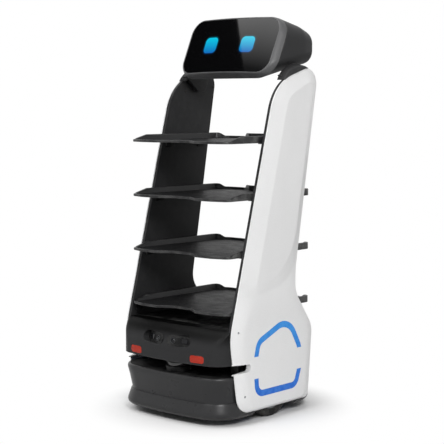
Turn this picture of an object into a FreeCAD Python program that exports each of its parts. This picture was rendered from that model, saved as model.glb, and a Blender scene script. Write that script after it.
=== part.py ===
import FreeCAD, Part
import math
import os
import re
import Sketcher

# Delivery robot with four trays between two leaning columns. Millimetres.
# X is across the robot, the front faces -Y, Z is up, and the floor is Z = 0.
# The origin is the middle of the footprint, on the floor.

V = FreeCAD.Vector
doc = FreeCAD.newDocument("DeliveryRobot")

# ---------------------------------------------------------------- driving dimensions

SIZES = [
    # columns: a dark side plate inside, a white shell outside
    ("plate_inner", 182), ("plate_thick", 9), ("shell_depth", 16), ("shell_wall", 3),
    ("shell_rim", 3), ("part_gap", 0.3),
    ("foot_front_y", -183), ("foot_front_z", 235), ("foot_toe_y", -150), ("shell_bottom_z", 31),
    ("crown_front_y", 0), ("crown_front_z", 904), ("crown_rear_y", 188), ("crown_rear_z", 962),
    ("waist_y", 78), ("waist_z", 336), ("heel_y", 156), ("heel_z", 232), ("heel_bottom_y", 143),
    # raised flat panel on the shell
    ("panel_tip_y", -93), ("panel_tip_z", 358), ("panel_front_y", 42), ("panel_front_z", 868),
    ("panel_rear_y", 153), ("panel_rear_z", 916), ("panel_low_y", 56), ("panel_low_z", 406),
    # slot that runs round the front, between the lower and the upper body
    ("slot_floor_z", 132), ("slot_roof_z", 165), ("slot_end_y", -115), ("slot_height", 26),
    # plan of the body
    ("body_half", 191), ("body_depth", 231), ("front_bow", 900), ("front_slope", 6),
    ("front_corner", 62), ("rear_bow", 400), ("rear_slope", 12), ("rear_corner", 115),
    ("cover_wall", 3), ("cover_vertical_z", 190), ("cover_roll", 80),
    ("cover_top_z", 258), ("cover_back_y", 150), ("rear_step", 5), ("deck_margin", 8),
    # light ring on each foot
    ("ring_width", 15), ("ring_deep", 5), ("ring_gap_top_z", 180), ("ring_gap_low_z", 121),
    # trays
    ("tray_top_z", 747), ("tray_pitch", 150), ("tray_half", 178.8), ("tray_depth", 188),
    ("tray_floor", 3), ("tray_rim", 16), ("tray_front_lip", 4), ("tray_rear_lip", 7),
    ("tray_wall", 4), ("tray_rim_wall", 8), ("tray_notch", 26), ("tray_notch_half", 30),
    ("tray_corner", 22), ("bracket_long", 30), ("bracket_drop", 20), ("bracket_reach", 22),
    ("bracket_thick", 3),
    # decks, frame and what stands on it
    ("chassis_z", 74), ("chassis_thick", 4), ("chassis_side", 11), ("chassis_end", 31),
    ("deck_thick", 3), ("bridge_half", 132), ("bridge_lap", 16), ("pillar_side", 24),
    ("pillar_x", 150), ("pillar_front_y", -105),
    ("pillar_rear_y", 112), ("battery_wide", 220), ("battery_long", 180), ("battery_high", 48),
    ("control_wide", 240), ("control_long", 200), ("control_high", 70),
    ("lidar_radius", 36), ("lidar_y", -172), ("lidar_high", 30),
    # drive
    ("wheel_radius", 76), ("wheel_wide", 36), ("wheel_x", 166), ("rim_radius", 54),
    ("axle_radius", 8), ("arm_thick", 10), ("arm_gap", 6), ("pivot_y", 72), ("pivot_z", 54),
    ("pivot_pin", 6), ("run_gap", 0.05),
    # casters
    ("caster_radius", 25), ("caster_wide", 18), ("caster_trail", 18), ("caster_x", 105),
    ("caster_front_y", -155), ("caster_rear_y", 150), ("kingpin_radius", 5), ("fork_plate", 2.5),
    # head
    ("face_half", 155), ("face_high", 161.7), ("face_lean", 24.1), ("face_y", 43.2),
    ("face_z", 1005.6), ("face_corner", 38), ("face_bow", 700), ("glass_thick", 3),
    ("bezel_lap", 2.5), ("bezel_deep", 16), ("bezel_side", 17), ("bezel_edge", 9.5),
    ("head_back_y", 205), ("head_wall", 3),
    # controls
    ("stop_radius", 15), ("stop_travel", 4), ("stop_z", 1002), ("power_radius", 8),
    ("power_travel", 2), ("power_z", 186),
]

sheet = doc.addObject("Spreadsheet::Sheet", "Sizes")
for row, (alias, number) in enumerate(SIZES, start=1):
    sheet.set("A%d" % row, alias)
    sheet.set("B%d" % row, str(number))
    sheet.setAlias("B%d" % row, alias)
doc.recompute()


def size(alias):
    """A driving dimension, read back from the sheet."""
    return float(sheet.get(alias))


def bound(text):
    """An expression written with bare aliases, pointed at the sheet."""
    return re.sub(r"[a-z][a-z_]*", lambda word: "Sizes." + word.group(), text)


def bind(thing, **properties):
    """Bind properties of an object to expressions; x, y, z and turn go to its Placement."""
    places = {"x": ".Placement.Base.x", "y": ".Placement.Base.y", "z": ".Placement.Base.z"}
    for name, text in properties.items():
        thing.setExpression(places.get(name, name), bound(text))
    return thing


parts = []


def keep(thing, label):
    """Name a finished sub-part; its label becomes its file name."""
    thing.Label = label
    parts.append(thing)
    return thing


# ---------------------------------------------------------------- ways of making a piece

def box(name, length, width, height, x, y, z):
    thing = doc.addObject("Part::Box", name)
    return bind(thing, Length=length, Width=width, Height=height, x=x, y=y, z=z)


def rod(name, radius, height, x, y, z, axis="z"):
    """A cylinder that runs from its base along +X, +Y or +Z."""
    turns = {"x": (V(0, 1, 0), 90), "y": (V(1, 0, 0), -90), "z": (V(0, 0, 1), 0)}
    thing = doc.addObject("Part::Cylinder", name)
    thing.Placement = FreeCAD.Placement(V(), FreeCAD.Rotation(*turns[axis]))
    return bind(thing, Radius=radius, Height=height, x=x, y=y, z=z)


def cut(name, base, tool):
    thing = doc.addObject("Part::Cut", name)
    thing.Base = base
    thing.Tool = tool
    return thing


def fuse(name, *shapes):
    thing = doc.addObject("Part::MultiFuse", name)
    thing.Shapes = list(shapes)
    thing.Refine = True
    return thing


def group(name, *shapes):
    """Separate solids that share one node."""
    thing = doc.addObject("Part::Compound", name)
    thing.Links = list(shapes)
    return thing


def mirror(name, source):
    """The left-hand copy of a right-hand piece."""
    thing = doc.addObject("Part::Mirroring", name)
    thing.Source = source
    thing.Normal = V(1, 0, 0)
    return thing


def feature(name, shape):
    thing = doc.addObject("Part::Feature", name)
    thing.Shape = shape
    return thing


def pair(piece, label):
    """Keep a right-hand piece and its mirrored left-hand twin."""
    keep(piece, label + "_right")
    keep(mirror(piece.Name + "Left", piece), label + "_left")


def plane(body, role):
    return next(item for item in body.Origin.OriginFeatures if item.Role == role)


def sketch(body, name, role, lift="0"):
    """An empty sketch on one of a body's own origin planes, lifted along its normal."""
    drawing = body.newObject("Sketcher::SketchObject", name)
    drawing.AttachmentSupport = [(plane(body, role), "")]
    drawing.MapMode = "FlatFace"
    drawing.setExpression(".AttachmentOffset.Base.z", bound(lift))
    return drawing


def polygon(drawing, corners, start=0):
    """A closed polygon whose corners are held by expressions; returns the next free line."""
    count = len(corners)
    for index in range(count):
        ahead = (index + 1) % count
        a = V(math.cos(2 * math.pi * index / count), math.sin(2 * math.pi * index / count), 0)
        b = V(math.cos(2 * math.pi * ahead / count), math.sin(2 * math.pi * ahead / count), 0)
        drawing.addGeometry(Part.LineSegment(a * 40, b * 40), False)
    for index in range(count):
        ahead = (index + 1) % count
        drawing.addConstraint(Sketcher.Constraint(
            "Coincident", start + index, 2, start + ahead, 1))
    for index, (across, up) in enumerate(corners):
        for kind, text in (("DistanceX", across), ("DistanceY", up)):
            number = drawing.addConstraint(Sketcher.Constraint(
                kind, -1, 1, start + index, 1, 10.0))
            drawing.setExpression("Constraints[%d]" % number, bound(text))
    return start + count


def circle(drawing, across, up, radius):
    """A full circle held by expressions."""
    line = drawing.addGeometry(Part.Circle(V(5, 5, 0), V(0, 0, 1), 3), False)
    for kind, text in (("DistanceX", across), ("DistanceY", up)):
        number = drawing.addConstraint(Sketcher.Constraint(kind, -1, 1, line, 3, 5.0))
        drawing.setExpression("Constraints[%d]" % number, bound(text))
    number = drawing.addConstraint(Sketcher.Constraint("Radius", line, 3.0))
    drawing.setExpression("Constraints[%d]" % number, bound(radius))


def pad(body, name, drawing, length):
    grown = body.newObject("PartDesign::Pad", name)
    grown.Profile = drawing
    grown.setExpression("Length", bound(length))
    return grown


def pocket(body, name, drawing, both=True):
    """A pocket through all of the body, both ways from its sketch."""
    hollow = body.newObject("PartDesign::Pocket", name)
    hollow.Profile = drawing
    hollow.Type = "ThroughAll"
    hollow.Midplane = both
    return hollow


def round_corners(body, name, radius, along, pick):
    """Fillet the straight edges that run along one axis and that pick() accepts."""
    doc.recompute()
    base = body.Tip
    chosen = []
    for number, edge in enumerate(base.Shape.Edges, start=1):
        ends = [vertex.Point for vertex in edge.Vertexes]
        if len(ends) != 2 or edge.Curve.TypeId != "Part::GeomLine":
            continue
        run = ends[1] - ends[0]
        if abs(abs(run.dot(along)) - run.Length) < 1e-6 and pick((ends[0] + ends[1]) * 0.5):
            chosen.append("Edge%d" % number)
    rounded = body.newObject("PartDesign::Fillet", name)
    rounded.Base = (base, chosen)
    rounded.setExpression("Radius", bound(radius))
    return rounded


# ---------------------------------------------------------------- outlines in code

def inset_corners(corners, inset):
    """Move every side of a polygon of (u, v, radius) inwards by the same distance."""
    count = len(corners)
    area = sum(corners[i - 1][0] * corners[i][1] - corners[i][0] * corners[i - 1][1]
               for i in range(count))
    sign = 1.0 if area > 0 else -1.0
    moved = []
    for index, (u, v, radius) in enumerate(corners):
        before = V(u - corners[index - 1][0], v - corners[index - 1][1], 0).normalize()
        after_corner = corners[(index + 1) % count]
        after = V(after_corner[0] - u, after_corner[1] - v, 0).normalize()
        normal_before = V(-before.y, before.x, 0) * sign
        normal_after = V(-after.y, after.x, 0) * sign
        bisector = normal_before + normal_after
        shift = bisector * (2 * inset / bisector.dot(bisector))
        turn = (before.x * after.y - before.y * after.x) * sign
        new_radius = radius - inset if turn > 0 else radius + inset
        moved.append((u + shift.x, v + shift.y, max(new_radius, 0.5)))
    return moved


def rounded_wire(corners, place):
    """Lines and tangent arcs through the corners; place() turns (u, v) into a point."""
    count = len(corners)
    ends = []
    for index, (u, v, radius) in enumerate(corners):
        here = V(u, v, 0)
        back = V(corners[index - 1][0], corners[index - 1][1], 0) - here
        front = V(corners[(index + 1) % count][0], corners[(index + 1) % count][1], 0) - here
        half = back.getAngle(front) / 2
        back.normalize()
        front.normalize()
        reach = radius / math.tan(half)
        middle = (back + front).normalize() * (radius / math.sin(half) - radius)
        ends.append((here + back * reach, here + middle, here + front * reach))
    edges = []
    for index, (first, middle, last) in enumerate(ends):
        edges.append(Part.Arc(*(place(p.x, p.y) for p in (first, middle, last))).toShape())
        following = ends[(index + 1) % count][0]
        edges.append(Part.LineSegment(
            place(last.x, last.y), place(following.x, following.y)).toShape())
    return Part.Wire(edges)


def at_x(x):
    return lambda u, v: V(x, u, v)


def at_z(z):
    return lambda u, v: V(u, v, z)


def prism(corners, place, along):
    return Part.Face(rounded_wire(corners, place)).extrude(along)


# ---------------------------------------------------------------- the columns

plate_outer = size("plate_inner") + size("plate_thick")
shell_outer = plate_outer + size("shell_depth")
rim_x = plate_outer + size("shell_rim")

SIDE_OUTLINE = [
    (size("foot_toe_y"), size("shell_bottom_z"), 50),
    (size("heel_bottom_y"), size("shell_bottom_z"), 14),
    (size("heel_y"), size("heel_z"), 55),
    (size("waist_y"), size("waist_z"), 60),
    (size("crown_rear_y"), size("crown_rear_z"), 42),
    (size("crown_front_y"), size("crown_front_z"), 130),
    (size("foot_front_y"), size("foot_front_z"), 160),
]


def side_prism(inner_x, outer_x, inset=0.0):
    """The column's side outline, extruded between two distances from the middle."""
    return prism(inset_corners(SIDE_OUTLINE, inset), at_x(inner_x), V(outer_x - inner_x, 0, 0))


def sloped(base, crest, base_x, crest_x, inset):
    """A body with sloping sides between two outlines in planes across X."""
    wires = [rounded_wire(inset_corners(base, inset), at_x(base_x)),
             rounded_wire(inset_corners(crest, inset), at_x(crest_x))]
    return Part.makeLoft(wires, True, True)


def shell_form(inset):
    """Outer form of the side shell, or with an inset the hollow behind its wall."""
    crest = shell_outer - inset
    base = rim_x - inset
    blade_base = [
        (size("foot_front_y") + 14, size("waist_z") - 51, 20),
        (size("waist_y") - 10, size("waist_z") - 51, 100),
        (size("crown_rear_y"), size("crown_rear_z"), 42),
        (size("crown_front_y"), size("crown_front_z"), 130),
    ]
    panel = [
        (size("panel_tip_y"), size("panel_tip_z"), 12),
        (size("panel_low_y"), size("panel_low_z"), 180),
        (size("panel_rear_y"), size("panel_rear_z"), 12),
        (size("panel_front_y"), size("panel_front_z"), 60),
    ]
    foot_base = [
        (size("foot_toe_y"), size("shell_bottom_z"), 50),
        (size("heel_bottom_y") + 4, size("shell_bottom_z"), 14),
        (size("heel_y") + 15, size("heel_z"), 60),
        (size("waist_y") + 8, size("waist_z") + 79, 20),
        (size("foot_front_y") + 51, size("waist_z") + 79, 20),
        (size("foot_front_y"), size("foot_front_z"), 160),
    ]
    foot_crest = [
        (size("foot_toe_y") + 38, size("shell_bottom_z") + 11, 35),
        (size("heel_bottom_y") - 30, size("shell_bottom_z") + 11, 12),
        (size("heel_y") - 32, size("heel_z") - 8, 50),
        (size("waist_y") - 24, size("waist_z") - 31, 30),
        (size("foot_front_y") + 71, size("waist_z") - 31, 30),
        (size("foot_front_y") + 45, size("foot_front_z") - 3, 100),
    ]
    blade = sloped(blade_base, panel, base, crest, inset)
    foot = sloped(foot_base, foot_crest, base, crest - 0.3, inset)
    start = plate_outer - (1.0 if inset else 0.0)
    rim = side_prism(start, base, inset)
    form = rim.fuse([blade, foot])
    return form.common(side_prism(start, crest + 1, inset)).removeSplitter()


def light_band(grow):
    """The two lit segments of the foot, as a band that runs out through the shell."""
    outer = [(-104, 168, 40), (-96, 70, 34), (82, 70, 34), (103, 130, 60), (100, 186, 60),
             (46, 278, 28), (-90, 224, 40)]
    outer = inset_corners(outer, -grow)
    inner = inset_corners(outer, size("ring_width") + 2 * grow)
    start = shell_outer - size("ring_deep")
    run = V(size("ring_deep") + 5, 0, 0)
    ring = prism(outer, at_x(start), run).cut(prism(inner, at_x(start), run))
    low = size("ring_gap_low_z") + grow
    gap = Part.makeBox(40, 400, size("ring_gap_top_z") - grow - low, V(start - 5, -200, low))
    return ring.cut(gap)


outer_form = shell_form(0.0)
fit = 0.1
slot_corners = [
    (-260, size("slot_floor_z") + 5, 2), (size("slot_end_y"), size("slot_floor_z") + 13, 9),
    (size("slot_end_y"), size("slot_roof_z"), 9), (-260, size("slot_roof_z") + 2, 2)]
front_slot = prism(slot_corners, at_x(plate_outer - 5), V(30, 0, 0))
slot_wall = prism(inset_corners(slot_corners, -size("shell_wall")), at_x(plate_outer - 5),
                  V(30, 0, 0))
hollow = shell_form(size("shell_wall")).cut(slot_wall)
side_shell = outer_form.cut([hollow, front_slot, light_band(fit)])
pair(feature("SideShell", side_shell), "side_shell")

light_ring = light_band(0.0).common(outer_form)
pair(feature("LightRing", light_ring), "light_ring")

plate_foot_z = size("slot_roof_z") + size("deck_thick") + 1
side_plate = side_prism(size("plate_inner"), plate_outer)
side_plate = side_plate.cut(Part.makeBox(60, 600, plate_foot_z, V(170, -300, 0)))
pair(feature("SidePlate", side_plate), "side_plate")

upright = doc.addObject("PartDesign::Body", "Upright")
drawing = sketch(upright, "UprightSide", "YZ_Plane", "plate_inner + plate_thick")
polygon(drawing, [
    ("foot_front_y + 103", "slot_roof_z + 6"), ("foot_front_y + 173", "slot_roof_z + 6"),
    ("crown_front_y + 110", "crown_front_z - 54"), ("crown_front_y + 50", "crown_front_z - 54")])
pad(upright, "UprightPad", drawing, "shell_depth / 2 - 2")
pair(upright, "upright")

# ---------------------------------------------------------------- trays


def tray(number):
    """A moulded tray: floor, raised side rims, low front and rear lips, notched ends."""
    body = doc.addObject("PartDesign::Body", "Tray%d" % number)
    drawing = sketch(body, "TrayPlan%d" % number, "XY_Plane", "-tray_floor")
    end = "tray_depth"
    notch = "tray_depth - tray_notch"
    wide = "tray_notch_half + 42"
    plan = []
    for side, flip in (("", 1), ("-", -1)):
        turn = side if side else ""
        across = [("tray_half", "tray_depth - 16"), ("tray_half - 50", end),
                  (wide, end), ("tray_notch_half", notch)]
        half = [(u, v) for u, v in across]
        mirrored = [("-(%s)" % u, v) for u, v in reversed(across)]
        row = half + mirrored
        if flip == -1:
            row = [(u, "-(%s)" % v) for u, v in reversed(row)]
        plan += row
    polygon(drawing, plan)
    pad(body, "TrayBlock%d" % number, drawing, "tray_floor + tray_rim")
    reach = size("tray_depth")
    notch_half = size("tray_notch_half")
    round_corners(body, "TrayCorners%d" % number, "tray_corner", V(0, 0, 1),
                  lambda p: abs(abs(p.x) - size("tray_half")) < 0.1)
    round_corners(body, "TrayLobes%d" % number, "tray_corner", V(0, 0, 1),
                  lambda p: abs(abs(p.y) - reach) < 0.1 and abs(p.x) < notch_half + 60)
    round_corners(body, "TrayNotches%d" % number, "tray_corner", V(0, 0, 1),
                  lambda p: abs(abs(p.x) - notch_half) < 0.1)

    side = sketch(body, "TraySide%d" % number, "YZ_Plane")
    polygon(side, [
        ("-tray_depth - 5", "tray_front_lip"),
        ("-tray_depth + 26", "tray_front_lip"),
        ("-tray_depth + 47", "tray_rim"),
        ("tray_depth - 16", "tray_rim"),
        ("tray_depth - 8", "tray_rear_lip"),
        ("tray_depth + 5", "tray_rear_lip"),
        ("tray_depth + 5", "tray_rim + 8"),
        ("-tray_depth - 5", "tray_rim + 8")])
    pocket(body, "TrayRimCut%d" % number, side)

    well = sketch(body, "TrayWell%d" % number, "XY_Plane", "tray_rim")
    inside = []
    for u, v in [("tray_half - tray_rim_wall", "tray_depth - 16 - tray_wall"),
                 ("tray_half - 52", "tray_depth - tray_wall"),
                 ("tray_notch_half + 44", "tray_depth - tray_wall"),
                 ("tray_notch_half + 2", "tray_depth - tray_notch - tray_wall")]:
        inside.append((u, v))
    inside += [("-(%s)" % u, v) for u, v in reversed(inside)]
    inside += [(u, "-(%s)" % v) for u, v in reversed(inside)]
    polygon(well, inside)
    hollow = body.newObject("PartDesign::Pocket", "TrayHollow%d" % number)
    hollow.Profile = well
    hollow.setExpression("Length", bound("tray_rim"))
    bind(body, z="tray_top_z - ( %d ) * tray_pitch" % (number - 1))
    return body


for number in range(1, 5):
    keep(tray(number), "tray_%d" % number)


def edge_at(z, rear):
    """Where the column's front or rear edge lies at a height."""
    if rear:
        low_y, low_z, high_y, high_z = (size("waist_y"), size("waist_z"),
                                        size("crown_rear_y"), size("crown_rear_z"))
    else:
        low_y, low_z, high_y, high_z = (size("foot_front_y"), size("foot_front_z"),
                                        size("crown_front_y"), size("crown_front_z"))
    return low_y + (high_y - low_y) * (z - low_z) / (high_z - low_z)


brackets = []
for number in range(1, 5):
    under = size("tray_top_z") - (number - 1) * size("tray_pitch") - size("tray_floor")
    for y in (edge_at(under, False) + 12, edge_at(under, True) - 20 - size("bracket_long")):
        for hand in (1, -1):
            face = hand * size("plate_inner")
            leg = Part.makeBox(size("bracket_thick"), size("bracket_long"), size("bracket_drop"),
                               V(min(face, face - hand * size("bracket_thick")), y,
                                 under - size("bracket_drop")))
            shelf = Part.makeBox(size("bracket_reach"), size("bracket_long"),
                                 size("bracket_thick"),
                                 V(min(face, face - hand * size("bracket_reach")), y,
                                   under - size("bracket_thick")))
            brackets.append(leg.fuse(shelf).removeSplitter())
keep(feature("TrayBrackets", Part.makeCompound(brackets)), "tray_brackets")

# ---------------------------------------------------------------- body covers and skirts


def plan_corners(half, depth, front_corner, rear_corner):
    """Plan of the body: bowed front and rear, straight sides, four rounded corners."""
    ends = []
    for bow, slope in (("front_bow", "front_slope"), ("rear_bow", "rear_slope")):
        slant = math.radians(size(slope))
        middle = depth + size(bow) * (1 / math.cos(slant) - 1)
        ends.append((middle, middle - half * math.tan(slant)))
    (front, front_side), (rear, rear_side) = ends
    return [(0, -front, size("front_bow")), (half, -front_side, front_corner),
            (half, rear_side, rear_corner), (0, rear, size("rear_bow")),
            (-half, rear_side, rear_corner), (-half, -front_side, front_corner)]


def cover_form(depth, bottom, inset, bow):
    """Upper body front: upright below, rolled back to the recess under the lowest tray."""
    top = size("cover_top_z") - inset
    start = size("cover_vertical_z")
    roll = size("cover_roll") - inset
    face_y = depth - inset
    turn = math.asin((top - start) / roll)
    back = size("cover_back_y") - (5 if inset else 0)
    lean = [V(0, -face_y + roll * (1 - math.cos(a)), start + roll * math.sin(a))
            for a in (0, turn / 2, turn)]
    floor = bottom - (5 if inset else 0)
    edges = [Part.Arc(*lean).toShape()]
    loop = [lean[2], V(0, -back, top), V(0, -back, floor), V(0, -face_y, floor), lean[0]]
    for first, last in zip(loop, loop[1:]):
        edges.append(Part.LineSegment(first, last).toShape())
    face = Part.Face(Part.Wire(edges))
    axis = V(0, bow - depth, 0)
    swing = math.degrees(math.asin(210 / bow))
    face.rotate(axis, V(0, 0, 1), -swing)
    return face.revolve(axis, V(0, 0, 1), 2 * swing)


def cover(depth, bottom, rear=False):
    """One end of the upper body: its outer form, and the hollow cover itself."""
    def form(inset):
        plan = plan_corners(size("body_half"), depth, size("front_corner"), size("rear_corner"))
        block = prism(inset_corners(plan, inset), at_z(bottom - 10), V(0, 0, 200))
        end = cover_form(depth, bottom, inset, size("rear_bow" if rear else "front_bow"))
        if rear:
            end.rotate(V(), V(0, 0, 1), 180)
        return end.common(block)
    outer = form(0.0)
    bay = Part.makeBox(600, 2 * size("cover_back_y"), 200, V(-300, -size("cover_back_y"), 160))
    return outer, outer.cut([form(size("cover_wall")), bay])


def side_clearance(from_x, grow):
    """What the columns take up, on both sides, grown by the gap to the body."""
    right = side_prism(from_x, shell_outer + 5, -grow)
    return [right, right.mirror(V(), V(1, 0, 0))]


gap = size("part_gap")
cover_outer, front_cover = cover(size("body_depth"), size("slot_roof_z"))
front_cover = front_cover.cut(side_clearance(size("plate_inner") - gap, gap))

# camera recesses: pill-shaped dishes that face a little outwards and upwards
recess_turn = 18
recess_tilt = 14


def recess_place(x, y, z):
    turn = FreeCAD.Rotation(V(0, 0, 1), recess_turn).multiply(
        FreeCAD.Rotation(V(1, 0, 0), 90 - recess_tilt))
    return FreeCAD.Placement(V(x, y, z), turn)


def pill(long, high, deep, start):
    """A pill-shaped prism along local Z, which points forward out of the recess."""
    half = long / 2 - high / 2
    corners = [(-half - high / 2, -high / 2, high / 2 - 0.01),
               (half + high / 2, -high / 2, high / 2 - 0.01),
               (half + high / 2, high / 2, high / 2 - 0.01),
               (-half - high / 2, high / 2, high / 2 - 0.01)]
    return prism(corners, at_z(start), V(0, 0, deep))


camera_place = recess_place(46, 10 - size("body_depth"), 221)


def camera_piece(shape):
    shape.Placement = camera_place.multiply(shape.Placement)
    return shape


def both_sides(shape):
    return [shape, shape.mirror(V(), V(1, 0, 0))]


cup = camera_piece(pill(86, 38, 40, -12)).common(cover_outer)
dish = camera_piece(pill(78, 30, 40, -7))
front_cover = front_cover.fuse(both_sides(cup)).cut(both_sides(dish))
front_cover = front_cover.cut(both_sides(camera_piece(pill(60, 20, 20, -20))))

lamp_high = 20
lamp_long = 45
lamp_z = 180
lamp_x = 112
lamp_corners = [(lamp_x - lamp_long / 2, lamp_z - lamp_high / 2, 7),
                (lamp_x + lamp_long / 2, lamp_z - lamp_high / 2, 7),
                (lamp_x + lamp_long / 2, lamp_z + lamp_high / 2, 7),
                (lamp_x - lamp_long / 2, lamp_z + lamp_high / 2, 7)]


def at_y(y):
    return lambda u, v: V(u, y, v)


lamp_front = at_y(-size("body_depth") - 9)
lamp_hole = prism(inset_corners(lamp_corners, -fit), lamp_front, V(0, 60, 0))
lamp = prism(lamp_corners, lamp_front, V(0, 30, 0)).common(cover_outer)
front_cover = front_cover.cut(both_sides(lamp_hole))
keep(feature("FrontCover", front_cover.removeSplitter()), "front_cover")
pair(feature("Lamp", lamp), "lamp")

# depth camera: its face plate lies in the dish, with a lens and a window, body behind
face_plate = pill(77.4, 29.4, 2, -7)
camera_body = pill(59.4, 19.4, 16, -23)
lens = Part.makeCylinder(8, 3.5, V(-19, 0, -5))
window = Part.makeBox(18, 13, 3, V(6, -6.5, -5))
camera = camera_piece(face_plate.fuse([camera_body, lens, window]).removeSplitter())
pair(feature("DepthCamera", camera), "depth_camera")

rear_y = size("body_depth") - size("rear_step")
rear_outer, rear_cover = cover(rear_y, size("slot_floor_z") + 2, rear=True)
rear_cover = rear_cover.cut(side_clearance(size("plate_inner") - gap, gap))
power_hole = Part.makeCylinder(size("power_radius") + 3, 60,
                               V(0, rear_y - 36, size("power_z")), V(0, 1, 0))
keep(feature("RearCover", rear_cover.cut(power_hole)), "rear_cover")

# the skirt, as (height, half width, depth, front corner) from its lower lip to its top edge
SKIRT = [(20, -8.5, -8, 82), (23, -4, -3, 86), (29, 0, 0, 88), (38, -1, -1, 88),
         (60, -9, -11, 78), (68, -13, -14, 73), (100, -9.5, -7, 74), (124, -6.5, -1, 74),
         (129, -7, -1.5, 74), (132, -9, -4, 74)]
lip_half = size("body_half") + 6.5


def skirt_form(inset):
    wires = []
    for index, (z, half, depth, corner) in enumerate(SKIRT):
        if inset and index == 0:
            z -= 5
        if inset and index == len(SKIRT) - 1:
            z += 5
        plan = plan_corners(lip_half + half, size("body_depth") + depth, corner,
                            size("rear_corner") + 5)
        wires.append(rounded_wire(inset_corners(plan, inset), at_z(z)))
    return Part.makeLoft(wires, True, True)


skirt = skirt_form(0.0).cut(skirt_form(size("cover_wall")))
skirt = skirt.cut(side_clearance(plate_outer - gap, gap))
reach = size("wheel_radius") + 12
front_skirt = skirt.common(Part.makeBox(600, 300, 300, V(-300, -300 - reach, 0)))
rear_skirt = skirt.common(Part.makeBox(600, 300, 300, V(-300, reach, 0)))
contact_y = size("body_depth") - 16
contact_window = Part.makeBox(112.2, 40, 30.2, V(-56.1, contact_y - 15, 75.9))
keep(feature("FrontSkirt", front_skirt), "front_skirt")
keep(feature("RearSkirt", rear_skirt.cut(contact_window)), "rear_skirt")

carrier = Part.makeBox(112, 6, 30, V(-56, contact_y, 76))
strips = [Part.makeBox(36, 4, 9, V(x, contact_y + 4, z)) for x in (-46, 10) for z in (80, 93)]
keep(feature("ChargeContacts", carrier.fuse(strips).removeSplitter()), "charge_contacts")

# ---------------------------------------------------------------- decks and frame


def deck(z, half, depth, corner, thick):
    plan = plan_corners(half, depth, corner, size("rear_corner") + 5)
    return prism(plan, at_z(z), V(0, 0, thick))


thick = size("deck_thick")
pillars = [Part.makeBox(size("pillar_side") + 0.2, size("pillar_side") + 0.2, 90,
                        V(hand * size("pillar_x") - size("pillar_side") / 2 - 0.1,
                          y - size("pillar_side") / 2 - 0.1, 80))
           for hand in (1, -1) for y in (size("pillar_front_y"), size("pillar_rear_y"))]
lower_deck = deck(size("slot_floor_z") - thick, size("body_half") - 6.5,
                  size("body_depth") - size("deck_margin") + 0.5, size("front_corner") + 8, thick)
lower_deck = lower_deck.cut(pillars)
bay_half = size("wheel_radius") + 6
front_deck = lower_deck.common(Part.makeBox(600, 300, 90, V(-300, -300 - bay_half, 90)))
rear_deck = lower_deck.common(Part.makeBox(600, 300, 90, V(-300, bay_half, 90)))
# a narrower sheet under the two ends joins them between the wheels
bridge = Part.makeBox(2 * size("bridge_half"), 2 * (bay_half + size("bridge_lap")), thick,
                      V(-size("bridge_half"), -bay_half - size("bridge_lap"),
                        size("slot_floor_z") - 2 * thick))
keep(feature("LowerDeck", Part.makeCompound([front_deck, rear_deck, bridge])), "lower_deck")

upper_deck = deck(size("slot_roof_z") + 1, size("body_half") - 3.5,
                  size("body_depth") - size("deck_margin") - 0.5, size("front_corner") - 4, thick)
keep(feature("UpperDeck", upper_deck), "upper_deck")

keep(box("BayFloor", "2 * plate_inner", "2 * cover_back_y - 2 * part_gap", "deck_thick",
         "-plate_inner", "part_gap - cover_back_y", "cover_top_z - deck_thick"),
     "bay_floor")

chassis = doc.addObject("PartDesign::Body", "ChassisPlate")
drawing = sketch(chassis, "ChassisPlan", "XY_Plane", "chassis_z")
polygon(drawing, [("chassis_side - body_half", "chassis_end - body_depth"),
                  ("body_half - chassis_side", "chassis_end - body_depth"),
                  ("body_half - chassis_side", "body_depth - chassis_end"),
                  ("chassis_side - body_half", "body_depth - chassis_end")])
pad(chassis, "ChassisPad", drawing, "chassis_thick")
round_corners(chassis, "ChassisCorners", "rear_corner - 5", V(0, 0, 1), lambda p: True)
for name, hand in (("Right", ""), ("Left", "-")):
    drawing = sketch(chassis, "WheelBay" + name, "XY_Plane", "chassis_z")
    inner = "wheel_x - wheel_wide / 2 - arm_gap - arm_thick - 6"
    mid = "wheel_x - wheel_wide / 2 - 1"
    rows = [(inner, "-26"), (mid, "-26"), (mid, "-wheel_radius - 8"),
            ("body_half + 9", "-wheel_radius - 8"),
            ("body_half + 9", "wheel_radius + 8"), (mid, "wheel_radius + 8"),
            (mid, "pivot_y - 20"), (inner, "pivot_y - 20")]
    polygon(drawing, [("%s(%s)" % (hand, u), v) for u, v in rows])
    pocket(chassis, "WheelBayCut" + name, drawing)
keep(chassis, "chassis_plate")

posts = [box("Pillar%d" % number, "pillar_side", "pillar_side",
             "slot_roof_z + 1 - chassis_z - chassis_thick",
             "%s - pillar_side / 2" % x, "%s - pillar_side / 2" % y,
             "chassis_z + chassis_thick")
         for number, (x, y) in enumerate(
             [("pillar_x", "pillar_front_y"), ("pillar_x", "pillar_rear_y"),
              ("-pillar_x", "pillar_front_y"), ("-pillar_x", "pillar_rear_y")])]
keep(group("DeckPillars", *posts), "deck_pillars")

keep(box("Battery", "battery_wide", "battery_long", "battery_high", "-battery_wide / 2",
         "1-battery_long / 2", "chassis_z + chassis_thick"), "battery_pack")
keep(box("ControlBox", "control_wide", "control_long", "control_high",
         "-control_wide / 2", "-control_long / 2",
         "slot_roof_z + 1 + deck_thick"), "control_box")

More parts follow.
